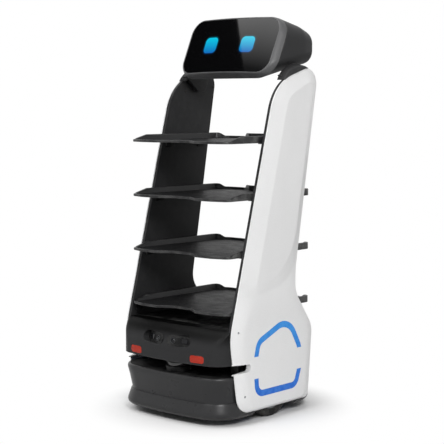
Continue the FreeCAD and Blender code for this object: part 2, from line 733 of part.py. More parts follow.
lidar_base = rod("LidarBase", "lidar_radius", "lidar_high * 0.42", "0", "lidar_y",
                 "slot_floor_z")
lidar_neck = rod("LidarNeck", "lidar_radius - 6", "lidar_high", "0", "lidar_y",
                 "slot_floor_z")
lidar_cap = rod("LidarCap", "lidar_radius", "lidar_high * 0.25", "0", "lidar_y",
                "slot_floor_z + lidar_high * 0.75")
keep(fuse("LidarBody", lidar_base, lidar_neck, lidar_cap), "lidar_body")
lidar_ring = rod("LidarRing", "lidar_radius - 2", "lidar_high * 0.33", "0", "lidar_y",
                 "slot_floor_z + lidar_high * 0.42")
lidar_bore = rod("LidarBore", "lidar_radius - 5.9", "lidar_high", "0", "lidar_y",
                 "slot_floor_z")
keep(cut("LidarWindow", lidar_ring, lidar_bore), "lidar_window")

# ---------------------------------------------------------------- drive wheels


def turned(name, profile, across, lift):
    """A body of revolution about an axis along X through (lift)."""
    body = doc.addObject("PartDesign::Body", name)
    drawing = sketch(body, name + "Profile", "XZ_Plane")
    polygon(drawing, profile)
    spun = body.newObject("PartDesign::Revolution", name + "Spin")
    spun.Profile = drawing
    spun.ReferenceAxis = (drawing, ["H_Axis"])
    spun.Angle = 360
    bind(body, x=across, z=lift)
    return body


half_wheel = "wheel_wide / 2"
tyre = turned("DriveTyre", [
    ("-wheel_wide / 2", "rim_radius"), (half_wheel, "rim_radius"),
    (half_wheel, "wheel_radius - 7"), ("wheel_wide / 2 - 2", "wheel_radius - 3"),
    ("wheel_wide / 2 - 7", "wheel_radius"), ("7 - wheel_wide / 2", "wheel_radius"),
    ("2 - wheel_wide / 2", "wheel_radius - 3"),
    ("-wheel_wide / 2", "wheel_radius - 7")], "wheel_x", "wheel_radius")
pair(tyre, "drive_tyre")
hub = turned("HubMotor", [
    ("-wheel_wide / 2 + 2", "axle_radius + run_gap"),
    ("wheel_wide / 2 - 8", "axle_radius + run_gap"), ("wheel_wide / 2 - 8", "22"),
    ("wheel_wide / 2 - 3", "26"), ("wheel_wide / 2 - 5", "rim_radius - 8"),
    ("wheel_wide / 2 - 1", "rim_radius"), ("1 - wheel_wide / 2", "rim_radius"),
    ("-wheel_wide / 2 + 2", "rim_radius - 8")], "wheel_x", "wheel_radius")
pair(hub, "hub_motor")

# swing arm: a flat arm with a boss at each end and the stub axle of its wheel
arm_x = "wheel_x - wheel_wide / 2 - arm_gap - arm_thick"
arm = doc.addObject("PartDesign::Body", "DriveArm")
drawing = sketch(arm, "ArmSide", "YZ_Plane", arm_x)
polygon(drawing, [
    ("-14", "wheel_radius - 14"), ("14", "wheel_radius - 17"),
    ("pivot_y - 12", "pivot_z - 12"), ("pivot_y + 12", "pivot_z - 12"),
    ("pivot_y + 12", "pivot_z + 10"), ("pivot_y - 12", "pivot_z + 10"),
    ("14", "wheel_radius + 14"),
    ("-14", "wheel_radius + 14")])
pad(arm, "ArmPad", drawing, "arm_thick")
round_corners(arm, "ArmRounding", "8", V(1, 0, 0), lambda p: True)
drawing = sketch(arm, "ArmPivot", "YZ_Plane", arm_x)
circle(drawing, "pivot_y", "pivot_z", "pivot_pin + run_gap")
pocket(arm, "ArmBore", drawing)
axle = rod("StubAxle", "axle_radius", "wheel_wide + arm_gap - 8", arm_x + " + arm_thick",
           "0", "wheel_radius", "x")
pair(fuse("ArmWithAxle", arm, axle), "drive_arm")

# pivot bracket under the chassis plate: two ears and the pin between them
ear_low = "pivot_z - 11"
ear_high = "chassis_z - pivot_z + 11"
inner_ear = box("InnerEar", "4", "22", ear_high, arm_x + " - 4.3", "pivot_y - 11",
                ear_low)
outer_ear = box("OuterEar", "4", "22", ear_high, arm_x + " + arm_thick + 0.3",
                "pivot_y - 11", ear_low)
pin = rod("PivotPin", "pivot_pin", "arm_thick + 8.6", arm_x + " - 4.3", "pivot_y",
          "pivot_z", "x")
flange = box("BracketFlange", "arm_thick + 8.6", "26", "3", arm_x + " - 4.3",
             "pivot_y - 9", "chassis_z - 3")
pair(fuse("PivotBracket", inner_ear, outer_ear, pin, flange), "pivot_bracket")

# ---------------------------------------------------------------- casters

corners = [("caster_x", "caster_front_y"), ("-caster_x", "caster_front_y"),
           ("caster_x", "caster_rear_y"), ("-caster_x", "caster_rear_y")]
mounts = []
for number, (x, y) in enumerate(corners, start=1):
    plate = box("CasterPlate%d" % number, "56", "56", "3", x + " - 28",
                y + " - 28", "chassis_z - 3")
    kingpin = rod("Kingpin%d" % number, "kingpin_radius", "13", x, y, "chassis_z - 16")
    mounts.append(fuse("CasterMount%d" % number, plate, kingpin))

    wheel = doc.addObject("PartDesign::Body", "CasterWheel%d" % number)
    drawing = sketch(wheel, "CasterProfile%d" % number, "XZ_Plane")
    polygon(drawing, [
        ("-caster_wide / 2", "3.05"), ("caster_wide / 2", "3.05"),
        ("caster_wide / 2", "9"), ("caster_wide / 2 - 3", "11"),
        ("caster_wide / 2 - 3", "17"), ("caster_wide / 2", "19"),
        ("caster_wide / 2", "caster_radius - 4"), ("caster_wide / 2 - 4", "caster_radius"),
        ("4 - caster_wide / 2", "caster_radius"),
        ("-caster_wide / 2", "caster_radius - 4"), ("-caster_wide / 2", "19"),
        ("3 - caster_wide / 2", "17"), ("3 - caster_wide / 2", "11"),
        ("-caster_wide / 2", "9")])
    spun = wheel.newObject("PartDesign::Revolution", "CasterSpin%d" % number)
    spun.Profile = drawing
    spun.ReferenceAxis = (drawing, ["H_Axis"])
    spun.Angle = 360
    bind(wheel, x=x, y=y + " + caster_trail", z="caster_radius")
    keep(wheel, "caster_wheel_%d" % number)

    crown = rod("ForkCrown%d" % number, "21", "6", x, y, "chassis_z - 9.3")
    bore = rod("ForkBore%d" % number, "kingpin_radius + run_gap", "40", x, y, "chassis_z - 30")
    legs = []
    for name, side in (("A", x + " + caster_wide / 2 + 0.4"),
                       ("B", x + " - caster_wide / 2 - 0.4 - fork_plate")):
        leg = doc.addObject("PartDesign::Body", "ForkLeg%s%d" % (name, number))
        drawing = sketch(leg, "ForkSide%s%d" % (name, number), "YZ_Plane")
        polygon(drawing, [
            ("-14", "chassis_z - 9.3"),
            ("caster_trail - 9", "caster_radius - 4"),
            ("caster_trail - 4", "caster_radius - 9"),
            ("caster_trail + 4", "caster_radius - 9"),
            ("caster_trail + 9", "caster_radius - 2"), ("18", "chassis_z - 9.3")])
        pad(leg, "ForkPad%s%d" % (name, number), drawing, "fork_plate")
        bind(leg, x=side, y=y)
        legs.append(leg)
    spindle = rod("ForkAxle%d" % number, "3", "caster_wide + 2 * fork_plate + 0.8",
                  x + " - caster_wide / 2 - 0.4 - fork_plate", y + " + caster_trail",
                  "caster_radius", "x")
    crown_ring = cut("ForkRing%d" % number, crown, bore)
    keep(fuse("CasterFork%d" % number, crown_ring, legs[0], legs[1], spindle),
         "caster_fork_%d" % number)
keep(group("CasterMounts", *mounts), "caster_plates")

# ---------------------------------------------------------------- head

lean = math.radians(size("face_lean"))


def on_face(x, v, n):
    """A point given across, up and out of the leaning face, from the face's middle."""
    return V(x, size("face_y") + v * math.sin(lean) - n * math.cos(lean),
             size("face_z") + v * math.cos(lean) + n * math.sin(lean))


def face_rect(grow_side, grow_up, corner):
    half = size("face_half") + grow_side
    high = size("face_high") / 2 + grow_up
    return [(-half, -high, corner), (half, -high, corner), (half, high, corner),
            (-half, high, corner)]


def face_wire(corners, n):
    return rounded_wire(corners, lambda u, v: on_face(u, v, n))


def face_prism(corners, start, deep):
    run = on_face(0, 0, start + deep) - on_face(0, 0, start)
    return Part.Face(face_wire(corners, start)).extrude(run)


def bow(radius):
    """Upright cylinder, along the face, whose skin is the bowed surface of the glass."""
    centre = -math.sqrt(size("face_bow") ** 2 - size("face_half") ** 2)
    start = on_face(0, -200, centre)
    run = on_face(0, 200, centre) - start
    return Part.makeCylinder(radius, 400, start, run)


lap = size("bezel_lap")
glass = face_prism(face_rect(0, 0, size("face_corner")), -8, 40)
glass = glass.common(bow(size("face_bow")).cut(bow(size("face_bow") - size("glass_thick"))))
keep(feature("ScreenGlass", glass), "screen_glass")

rim = face_rect(lap, lap, size("face_corner") + lap)
back_rim = face_rect(size("bezel_side"), size("bezel_edge"), size("face_corner") + 9)
flare = Part.makeLoft([face_wire(rim, 0), face_wire(back_rim, -size("bezel_deep"))], True, True)
nose = face_prism(rim, -0.5, 30).common(bow(size("face_bow") + 0.4))
seat = face_prism(face_rect(fit, fit, size("face_corner") + fit), -10, 60)
seat = seat.cut(bow(size("face_bow") - size("glass_thick")))
opening = face_prism(face_rect(-7, -7, size("face_corner") - 7), -30, 80)
bezel = flare.fuse(nose).cut([seat, opening]).removeSplitter()
keep(feature("HeadBezel", bezel), "head_bezel")


def head_form(inset):
    """Housing behind the bezel: sections from the bezel's plane to the rounded back."""
    back = size("head_back_y")
    middle_y = size("face_y")
    start = -size("bezel_deep") + (3 if inset else 0)
    sections = [face_wire(inset_corners(back_rim, inset), start)]
    high_z = size("face_z")
    for y, half, low, high, corner in ((back - 55, 19, -54, 57, 40), (back - 17, 15, -47, 43, 36),
                                       (back - inset, -3, -33, 27, 27)):
        rect = [(-size("face_half") - half, high_z + low, corner),
                (size("face_half") + half, high_z + low, corner),
                (size("face_half") + half, high_z + high, corner),
                (-size("face_half") - half, high_z + high, corner)]
        sections.append(rounded_wire(inset_corners(rect, inset), at_y(y)))
    return Part.makeLoft(sections, True, True)


head_outer = head_form(0.0)
stop_hole = Part.makeCylinder(size("stop_radius"), 40,
                              V(0, size("head_back_y") - 20, size("stop_z")), V(0, 1, 0))
head_shell = head_outer.cut([head_form(size("head_wall")), stop_hole])
keep(feature("HeadShell", head_shell), "head_shell")

panel_place = FreeCAD.Placement(on_face(0, 0, 0), FreeCAD.Rotation(V(1, 0, 0), 90 - size("face_lean")))
behind = -size("bezel_deep")
for label, wide, high, deep, n in (("display_panel", 300, 140, 8, behind - 8),
                                   ("head_board", 180, 90, 12, behind - 20)):
    slab = Part.makeBox(wide, high, deep, V(-wide / 2, -high / 2, n))
    piece = feature(label.title().replace("_", ""), slab)
    piece.Placement = panel_place
    keep(piece, label)

# head bracket: a tab down the inside of the side plate and a saddle over its top edge
tab = prism([(66, 935, 2), (78, 916, 12), (101, 883, 16), (138, 883, 16), (184, 920, 12),
             (188, 990, 2), (70, 990, 2)], at_x(size("plate_inner") - 15), V(15 - gap, 0, 0))
inside = size("plate_inner") - 15
crown_band = side_prism(inside, plate_outer + 1, -11)
saddle = crown_band.cut(side_prism(inside, plate_outer + 1, -gap))
saddle = saddle.common(Part.makeBox(60, 96, 120, V(inside, 44, 870)))
head_bracket = tab.common(crown_band).fuse(saddle).cut(head_outer).removeSplitter()
solids = sorted(head_bracket.Solids, key=lambda solid: solid.Volume)
pair(feature("HeadBracket", solids[-1]), "head_bracket")

# ---------------------------------------------------------------- controls

stop_z = "stop_z"
collar_flange = rod("StopFlange", "stop_radius + 5", "4", "0", "head_back_y", stop_z, "y")
collar_barrel = rod("StopBarrel", "stop_radius - 0.1", "16", "0", "head_back_y - 16",
                    stop_z, "y")
collar_bore = rod("StopBore", "6 + run_gap", "60", "0", "head_back_y - 30", stop_z, "y")
collar = cut("StopCollar", fuse("StopCollarBlank", collar_flange, collar_barrel), collar_bore)
keep(collar, "stop_collar")
stop_stem = rod("StopStem", "6", "stop_travel + 16", "0", "head_back_y - 10", stop_z, "y")
stop_cap = rod("StopCap", "stop_radius", "9", "0", "head_back_y + 4.5 + stop_travel",
               stop_z, "y")
keep(fuse("StopButton", stop_stem, stop_cap), "stop_button")

ring_flange = rod("PowerFlange", "power_radius + 5", "2", "0", "body_depth - rear_step",
                  "power_z", "y")
ring_barrel = rod("PowerBarrel", "power_radius + 2.9", "14", "0",
                  "body_depth - rear_step - 12", "power_z", "y")
ring_bore = rod("PowerBore", "power_radius + run_gap", "12", "0",
                "body_depth - rear_step - 8", "power_z", "y")
keep(cut("PowerRing", fuse("PowerRingBlank", ring_flange, ring_barrel), ring_bore), "power_ring")
keep(rod("PowerButton", "power_radius", "8", "0", "body_depth - rear_step - 5", "power_z",
         "y"), "power_button")

# ---------------------------------------------------------------- check and write

doc.recompute()
for thing in doc.Objects:
    if "Invalid" in thing.State or "Error" in thing.State:
        raise RuntimeError("%s failed: %s" % (thing.Name, thing.State))
os.makedirs("parts", exist_ok=True)
for thing in parts:
    shape = thing.Shape
    if shape.isNull() or not shape.isValid() or not shape.Solids:
        raise RuntimeError("%s has no sound shape" % thing.Label)
    shape.exportStep("parts/%s.step" % thing.Label)
print("%d sub-parts written" % len(parts))
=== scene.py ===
import math

import bpy
import numpy as np
from mathutils import Matrix, Vector


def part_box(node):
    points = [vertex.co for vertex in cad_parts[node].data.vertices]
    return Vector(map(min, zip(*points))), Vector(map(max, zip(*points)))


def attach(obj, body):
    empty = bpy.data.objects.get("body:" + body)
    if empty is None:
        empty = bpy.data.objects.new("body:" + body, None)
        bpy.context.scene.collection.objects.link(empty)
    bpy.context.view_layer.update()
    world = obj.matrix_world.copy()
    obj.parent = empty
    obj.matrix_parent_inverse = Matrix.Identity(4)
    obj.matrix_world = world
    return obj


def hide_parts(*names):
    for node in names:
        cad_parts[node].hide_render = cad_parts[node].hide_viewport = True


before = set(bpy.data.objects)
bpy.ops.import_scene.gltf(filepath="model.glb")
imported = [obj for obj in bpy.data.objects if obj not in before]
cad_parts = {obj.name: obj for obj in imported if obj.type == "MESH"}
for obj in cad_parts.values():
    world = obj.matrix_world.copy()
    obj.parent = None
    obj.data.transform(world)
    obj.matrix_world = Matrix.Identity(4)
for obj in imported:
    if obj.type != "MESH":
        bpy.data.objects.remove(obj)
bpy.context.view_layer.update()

# ---------------------------------------------------------------- camera
# A long lens under head height, tipped down a little, looking at one front corner.
bpy.ops.object.camera_add(location=(2.382, -2.686, 0.858),
                          rotation=(math.radians(84.62), 0, math.radians(41.53)))
camera = bpy.context.object
camera.data.sensor_width = 36
camera.data.lens = 105
camera.data.clip_end = 60
bpy.context.scene.camera = camera

# ---------------------------------------------------------------- studio
# A white paper floor, a broad soft light in front, a stronger and smaller one beside the
# robot and a weak one overhead. A dark card with a lit corner hangs where the glossy face
# mirrors it, and is seen in nothing but reflections.
bpy.context.scene.view_settings.view_transform = "Standard"

world = bpy.data.worlds.new("studio_air")
bpy.context.scene.world = world
world.use_nodes = True
air = world.node_tree.nodes
wires = world.node_tree.links
air.clear()
sky = air.new("ShaderNodeBackground")
sky.inputs["Color"].default_value = (1, 1, 1, 1)
sky.inputs["Strength"].default_value = 0.26
white = air.new("ShaderNodeBackground")
white.inputs["Color"].default_value = (1, 1, 1, 1)
rays = air.new("ShaderNodeLightPath")
seen = air.new("ShaderNodeMath")
seen.operation = "MAXIMUM"
seen_or_mirrored = air.new("ShaderNodeMath")
seen_or_mirrored.operation = "MAXIMUM"
choice = air.new("ShaderNodeMixShader")
out = air.new("ShaderNodeOutputWorld")
wires.new(rays.outputs["Is Camera Ray"], seen.inputs[0])
wires.new(rays.outputs["Is Transmission Ray"], seen.inputs[1])
wires.new(seen.outputs[0], seen_or_mirrored.inputs[0])
wires.new(rays.outputs["Is Glossy Ray"], seen_or_mirrored.inputs[1])
wires.new(seen_or_mirrored.outputs[0], choice.inputs["Fac"])
wires.new(sky.outputs[0], choice.inputs[1])
wires.new(white.outputs[0], choice.inputs[2])
wires.new(choice.outputs[0], out.inputs["Surface"])

bpy.ops.object.select_all(action="DESELECT")
bpy.ops.mesh.primitive_circle_add(vertices=96, radius=9, fill_type="NGON")
floor = bpy.context.object
floor.name = "studio_floor"
paper = bpy.data.materials.new("white_paper")
paper.use_nodes = True
nodes = paper.node_tree.nodes
wires = paper.node_tree.links
nodes.clear()
where = nodes.new("ShaderNodeTexCoord")
distance = nodes.new("ShaderNodeVectorMath")
distance.operation = "LENGTH"
fade = nodes.new("ShaderNodeMapRange")
fade.interpolation_type = "SMOOTHSTEP"
fade.inputs["From Min"].default_value = 0.21
fade.inputs["From Max"].default_value = 0.39
sheet = nodes.new("ShaderNodeBsdfDiffuse")
sheet.inputs["Color"].default_value = (0.94, 0.94, 0.94, 1)
glow = nodes.new("ShaderNodeEmission")
glow.inputs["Color"].default_value = (1, 1, 1, 1)
rays = nodes.new("ShaderNodeLightPath")
seen = nodes.new("ShaderNodeMath")
seen.operation = "MAXIMUM"
faded = nodes.new("ShaderNodeMath")
faded.operation = "MULTIPLY"
mix = nodes.new("ShaderNodeMixShader")
out = nodes.new("ShaderNodeOutputMaterial")
wires.new(where.outputs["Object"], distance.inputs[0])
wires.new(distance.outputs["Value"], fade.inputs["Value"])
wires.new(rays.outputs["Is Camera Ray"], seen.inputs[0])
wires.new(rays.outputs["Is Transmission Ray"], seen.inputs[1])
wires.new(fade.outputs["Result"], faded.inputs[0])
wires.new(seen.outputs[0], faded.inputs[1])
wires.new(faded.outputs[0], mix.inputs["Fac"])
wires.new(sheet.outputs[0], mix.inputs[1])
wires.new(glow.outputs[0], mix.inputs[2])
wires.new(mix.outputs[0], out.inputs["Surface"])
floor.data.materials.append(paper)


def soft_light(name, place, target, wide, high, watts):
    """A rectangular soft light that faces a point."""
    bpy.ops.object.light_add(type="AREA", location=place)
    lamp = bpy.context.object
    lamp.name = name
    lamp.data.shape = "RECTANGLE"
    lamp.data.size = wide
    lamp.data.size_y = high
    lamp.data.energy = watts
    aim = Vector(target) - Vector(place)
    lamp.rotation_euler = aim.to_track_quat("-Z", "Y").to_euler()


soft_light("front_light", (-0.3, -3.0, 3.0), (0, 0, 0.6), 2.0, 1.4, 46)
soft_light("side_light", (2.9, -2.3, 2.5), (0, 0, 0.4), 1.1, 1.1, 84)
soft_light("top_light", (0.1, -0.5, 3.3), (0, 0, 0.5), 2.0, 2.0, 26)

card_half_wide = 1.5
card_half_high = 1.1
middle = Vector((-1.448, -0.999, 2.304))
outward = Vector((0.6581, 0.4699, -0.5883))
sideways = Vector((-0.581, 0.814, 0.0))
upward = outward.cross(sideways)
upward = upward if upward.z > 0 else -upward
corners = [middle + sideways * card_half_wide * a + upward * card_half_high * b
           for a, b in ((-1, -1), (1, -1), (1, 1), (-1, 1))]
sheet_mesh = bpy.data.meshes.new("mirror_card")
sheet_mesh.from_pydata(corners, [], [(0, 1, 2, 3)])
card = bpy.data.objects.new("mirror_card", sheet_mesh)
bpy.context.collection.objects.link(card)
card.visible_camera = False
card.visible_diffuse = False
card.visible_shadow = False
card.visible_transmission = False
velvet = bpy.data.materials.new("card_light")
velvet.use_nodes = True
nodes = velvet.node_tree.nodes
wires = velvet.node_tree.links
nodes.clear()
where = nodes.new("ShaderNodeTexCoord")
shares = []
for direction, length, start in ((sideways * 0.2888 + upward * 0.5925, 1, (-0.065, 0.095)),
                                 (upward - sideways * 0.172, 1, (0.1135, 0.1215))):
    along = nodes.new("ShaderNodeVectorMath")
    along.operation = "DOT_PRODUCT"
    along.inputs[1].default_value = direction
    wires.new(where.outputs["Object"], along.inputs[0])
    share = nodes.new("ShaderNodeMapRange")
    share.inputs["From Min"].default_value = start[0] + middle.dot(direction)
    share.inputs["From Max"].default_value = start[1] + middle.dot(direction)
    wires.new(along.outputs["Value"], share.inputs["Value"])
    shares.append(share)
shares[0].inputs["To Min"].default_value = 0.12
shares[0].inputs["To Max"].default_value = 2.7
lit_corner = nodes.new("ShaderNodeMath")
lit_corner.operation = "MULTIPLY"
glow = nodes.new("ShaderNodeEmission")
out = nodes.new("ShaderNodeOutputMaterial")
wires.new(shares[0].outputs["Result"], lit_corner.inputs[0])
wires.new(shares[1].outputs["Result"], lit_corner.inputs[1])
wires.new(lit_corner.outputs[0], glow.inputs["Color"])
wires.new(glow.outputs[0], out.inputs["Surface"])
card.data.materials.append(velvet)


# ---------------------------------------------------------------- chassis plate
# The plate that carries the base: 4 mm steel, laser cut with a bay for each drive wheel,
# deburred and black powder coated. The suspension, casters and decks are bolted to it.
def deselect():
    if bpy.context.object and bpy.context.object.mode != "OBJECT":
        bpy.ops.object.mode_set(mode="OBJECT")
    bpy.ops.object.select_all(action="DESELECT")


def work_on(piece):
    deselect()
    piece.select_set(True)
    bpy.context.view_layer.objects.active = piece


def apply_all(piece):
    work_on(piece)
    for modifier in list(piece.modifiers):
        bpy.ops.object.modifier_apply(modifier=modifier.name)


def round_edges(piece, width, segments=2, degrees=34):
    """Rounds the edges that a finger could feel, and shades the rest smooth."""
    bevel = piece.modifiers.new("edge", "BEVEL")
    bevel.width = width
    bevel.segments = segments
    bevel.limit_method = "ANGLE"
    bevel.angle_limit = math.radians(degrees)
    bevel.use_clamp_overlap = True
    bevel.harden_normals = False
    apply_all(piece)
    bpy.ops.object.shade_smooth_by_angle(angle=math.radians(degrees))


def refined(node, name, width=0.0005, segments=2):
    """The node's own form with its triangles merged and its edges rounded."""
    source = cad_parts[node]
    piece = bpy.data.objects.new(name, source.data.copy())
    piece.data.materials.clear()
    bpy.context.collection.objects.link(piece)
    work_on(piece)
    bpy.ops.object.mode_set(mode="EDIT")
    bpy.ops.mesh.select_all(action="SELECT")
    bpy.ops.mesh.remove_doubles(threshold=0.00001)
    bpy.ops.mesh.dissolve_limited(angle_limit=math.radians(1.0))
    bpy.ops.object.mode_set(mode="OBJECT")
    if piece.data.has_custom_normals:
        bpy.ops.mesh.customdata_custom_splitnormals_clear()
    round_edges(piece, width, segments)
    return piece


def add(tree, kind, **settings):
    node = tree.nodes.new("ShaderNode" + kind)
    for key, value in settings.items():
        setattr(node, key, value)
    return node


def feed(tree, socket, value):
    """Plugs a socket in, or sets the number on it."""
    if isinstance(value, bpy.types.NodeSocket):
        tree.links.new(value, socket)
    else:
        socket.default_value = value


def maths(tree, operation, first, second=0.0):
    node = add(tree, "Math", operation=operation)
    feed(tree, node.inputs[0], first)
    feed(tree, node.inputs[1], second)
    return node.outputs[0]


def spread(tree, value, low, high, to_low=0.0, to_high=1.0, soft=False):
    node = add(tree, "MapRange", interpolation_type="SMOOTHSTEP" if soft else "LINEAR")
    for label, item in (("Value", value), ("From Min", low), ("From Max", high),
                        ("To Min", to_low), ("To Max", to_high)):
        feed(tree, node.inputs[label], item)
    return node.outputs["Result"]


def blended(tree, share, first, second, how="MIX"):
    node = add(tree, "Mix", data_type="RGBA", blend_type=how)
    feed(tree, node.inputs[0], share)
    feed(tree, node.inputs[6], first)
    feed(tree, node.inputs[7], second)
    return node.outputs[2]


def clouds(tree, place, scale, detail=3.0, roughness=0.5):
    node = add(tree, "TexNoise")
    feed(tree, node.inputs["Vector"], place)
    feed(tree, node.inputs["Scale"], scale)
    feed(tree, node.inputs["Detail"], detail)
    feed(tree, node.inputs["Roughness"], roughness)
    return node.outputs["Fac"]


def stretched(tree, place, scale):
    node = add(tree, "Mapping")
    feed(tree, node.inputs["Vector"], place)
    node.inputs["Scale"].default_value = scale
    return node.outputs["Vector"]


def new_group(name, takes, gives):
    group = bpy.data.node_groups.new(name, "ShaderNodeTree")
    for label, kind in takes:
        group.interface.new_socket(label, in_out="INPUT", socket_type="NodeSocket" + kind)
    for label, kind in gives:
        group.interface.new_socket(label, in_out="OUTPUT", socket_type="NodeSocket" + kind)
    return group, group.nodes.new("NodeGroupInput").outputs, \
        group.nodes.new("NodeGroupOutput").inputs


# the surface of a moulding or a powder coat: spark-eroded grain, faint flow marks, handling
# smudges, rubbed edges and a little dust near the floor
surface, takes, gives = new_group(
    "moulded_surface",
    [("Place", "Vector"), ("Colour", "Color"), ("Roughness", "Float"), ("Grain", "Float"),
     ("Smudge", "Float"), ("Wear", "Float"), ("Dust", "Float")],
    [("Colour", "Color"), ("Roughness", "Float"), ("Height", "Float")])
grain = clouds(surface, takes["Place"], takes["Grain"], 2.0, 0.6)
flow = clouds(surface, stretched(surface, takes["Place"], (1.0, 1.0, 0.35)), 14.0, 3.0)
smear = clouds(surface, takes["Place"], 38.0, 4.0, 0.65)
edge = add(surface, "NewGeometry").outputs["Pointiness"]
rubbed = spread(surface, edge, 0.515, 0.60, 0.0, 1.0)
rubbed = maths(surface, "MULTIPLY", rubbed, spread(surface, smear, 0.42, 0.62))
rubbed = maths(surface, "MULTIPLY", rubbed, takes["Wear"])
tone = spread(surface, flow, 0.3, 0.7, -0.5, 0.5)
tone = maths(surface, "MULTIPLY", tone, takes["Smudge"])
fleck = spread(surface, grain, 0.35, 0.65, -0.5, 0.5)
tone = maths(surface, "ADD", tone, maths(surface, "MULTIPLY", fleck, 0.06))
shift = add(surface, "HueSaturation")
feed(surface, shift.inputs["Value"], maths(surface, "ADD", tone, 1.0))
feed(surface, shift.inputs["Color"], takes["Colour"])
pale = blended(surface, rubbed, shift.outputs["Color"], (0.62, 0.62, 0.60, 1.0))
height = add(surface, "SeparateXYZ")
feed(surface, height.inputs[0], takes["Place"])
low = spread(surface, height.outputs["Z"], 0.0, 0.09, 1.0, 0.0)
settled = maths(surface, "MULTIPLY", low, spread(surface, smear, 0.35, 0.70))
settled = maths(surface, "MULTIPLY", settled, takes["Dust"])
feed(surface, gives["Colour"], blended(surface, settled, pale, (0.34, 0.32, 0.29, 1.0)))
dull = maths(surface, "MULTIPLY", spread(surface, smear, 0.3, 0.7, -0.5, 0.5), takes["Smudge"])
dull = maths(surface, "ADD", takes["Roughness"], dull)
feed(surface, gives["Roughness"], maths(surface, "ADD", dull, maths(surface, "MULTIPLY",
                                                                    settled, 0.3)))
feed(surface, gives["Height"], grain)

# drawn or turned metal: long fine scratches one way, stains and small pits
metal, takes, gives = new_group(
    "drawn_metal",
    [("Place", "Vector"), ("Colour", "Color"), ("Roughness", "Float"), ("Stain", "Float")],
    [("Colour", "Color"), ("Roughness", "Float"), ("Height", "Float")])
scratch = clouds(metal, stretched(metal, takes["Place"], (0.05, 1.0, 1.0)), 2400.0, 3.0, 0.7)
stain = clouds(metal, takes["Place"], 55.0, 5.0, 0.6)
mark = maths(metal, "MULTIPLY", spread(metal, stain, 0.45, 0.75), takes["Stain"])
feed(metal, gives["Colour"], blended(metal, mark, takes["Colour"], (0.16, 0.14, 0.12, 1.0)))
dull = maths(metal, "ADD", takes["Roughness"], spread(metal, scratch, 0.3, 0.7, -0.08, 0.08))
feed(metal, gives["Roughness"], maths(metal, "ADD", dull, maths(metal, "MULTIPLY", mark, 0.3)))
feed(metal, gives["Height"], scratch)


def tone_of(red, green, blue):
    """A shade given as it looks on a screen, 0 to 255, as the shader wants it."""
    values = []
    for part in (red, green, blue):
        part = part / 255
        values.append(part / 12.92 if part <= 0.04045 else ((part + 0.055) / 1.055) ** 2.4)
    return (*values, 1.0)


def finish(name, colour, roughness, metallic=0.0, specular=0.5, depth=0.00005, group=surface,
           **amounts):
    """A material with one of the shared surfaces on it."""
    material = bpy.data.materials.new(name)
    material.use_nodes = True
    tree = material.node_tree
    shader = tree.nodes["Principled BSDF"]
    skin = add(tree, "Group", node_tree=group)
    place = add(tree, "TexCoord").outputs["Object"]
    feed(tree, skin.inputs["Place"], place)
    feed(tree, skin.inputs["Colour"], colour)
    feed(tree, skin.inputs["Roughness"], roughness)
    for label, value in amounts.items():
        feed(tree, skin.inputs[label.title()], value)
    relief = add(tree, "Bump")
    relief.inputs["Strength"].default_value = 1.0
    relief.inputs["Distance"].default_value = depth
    feed(tree, relief.inputs["Height"], skin.outputs["Height"])
    feed(tree, shader.inputs["Base Color"], skin.outputs["Colour"])
    feed(tree, shader.inputs["Roughness"], skin.outputs["Roughness"])
    feed(tree, shader.inputs["Normal"], relief.outputs["Normal"])
    shader.inputs["Metallic"].default_value = metallic
    shader.inputs["Specular IOR Level"].default_value = specular
    return material


def place_on(piece, material, body, slot, *nodes):
    """Gives a finished piece its material and its body, and hides the nodes it stands for. The
    slot is not used.
    """
    piece.data.materials.clear()
    piece.data.materials.append(material)
    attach(piece, body)
    if nodes:
        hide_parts(*nodes)


black_coat = finish("black_powder_coat", tone_of(22, 22, 23), 0.55, specular=0.18,
                    grain=1500.0, smudge=0.12, wear=0.3, dust=0.2)
chassis_plate = refined("chassis_plate", "base_plate", 0.0006)
place_on(chassis_plate, black_coat, "chassis", "steel", "chassis_plate")

# ---------------------------------------------------------------- suspension brackets
# A folded steel bracket under the plate holds each swing arm on a ground pin. Zinc plated,
# welded at the ears and bolted through its flange.
zinc = finish("zinc_plate", tone_of(150, 152, 156), 0.38, metallic=0.9, group=metal, stain=0.35,
              depth=0.00002)
for side in ("left", "right"):
    bracket = refined("pivot_bracket_" + side, "suspension_bracket_" + side, 0.0004)
    place_on(bracket, zinc, "chassis", "steel", "pivot_bracket_" + side)

# ---------------------------------------------------------------- swing arms
# Die-cast aluminium arms that carry the hub motors. A boss at each end is machined, and the
# stub axle is a ground steel pin pressed in.
cast = finish("cast_aluminium", tone_of(128, 130, 132), 0.5, metallic=0.75, specular=0.5,
              grain=700.0, smudge=0.16, wear=0.3, dust=0.4, depth=0.00012)
for side in ("left", "right"):
    arm = refined("drive_arm_" + side, "swing_arm_casting_" + side, 0.0009, 3)
    place_on(arm, cast, "swing_arm_" + side, "aluminium", "drive_arm_" + side)


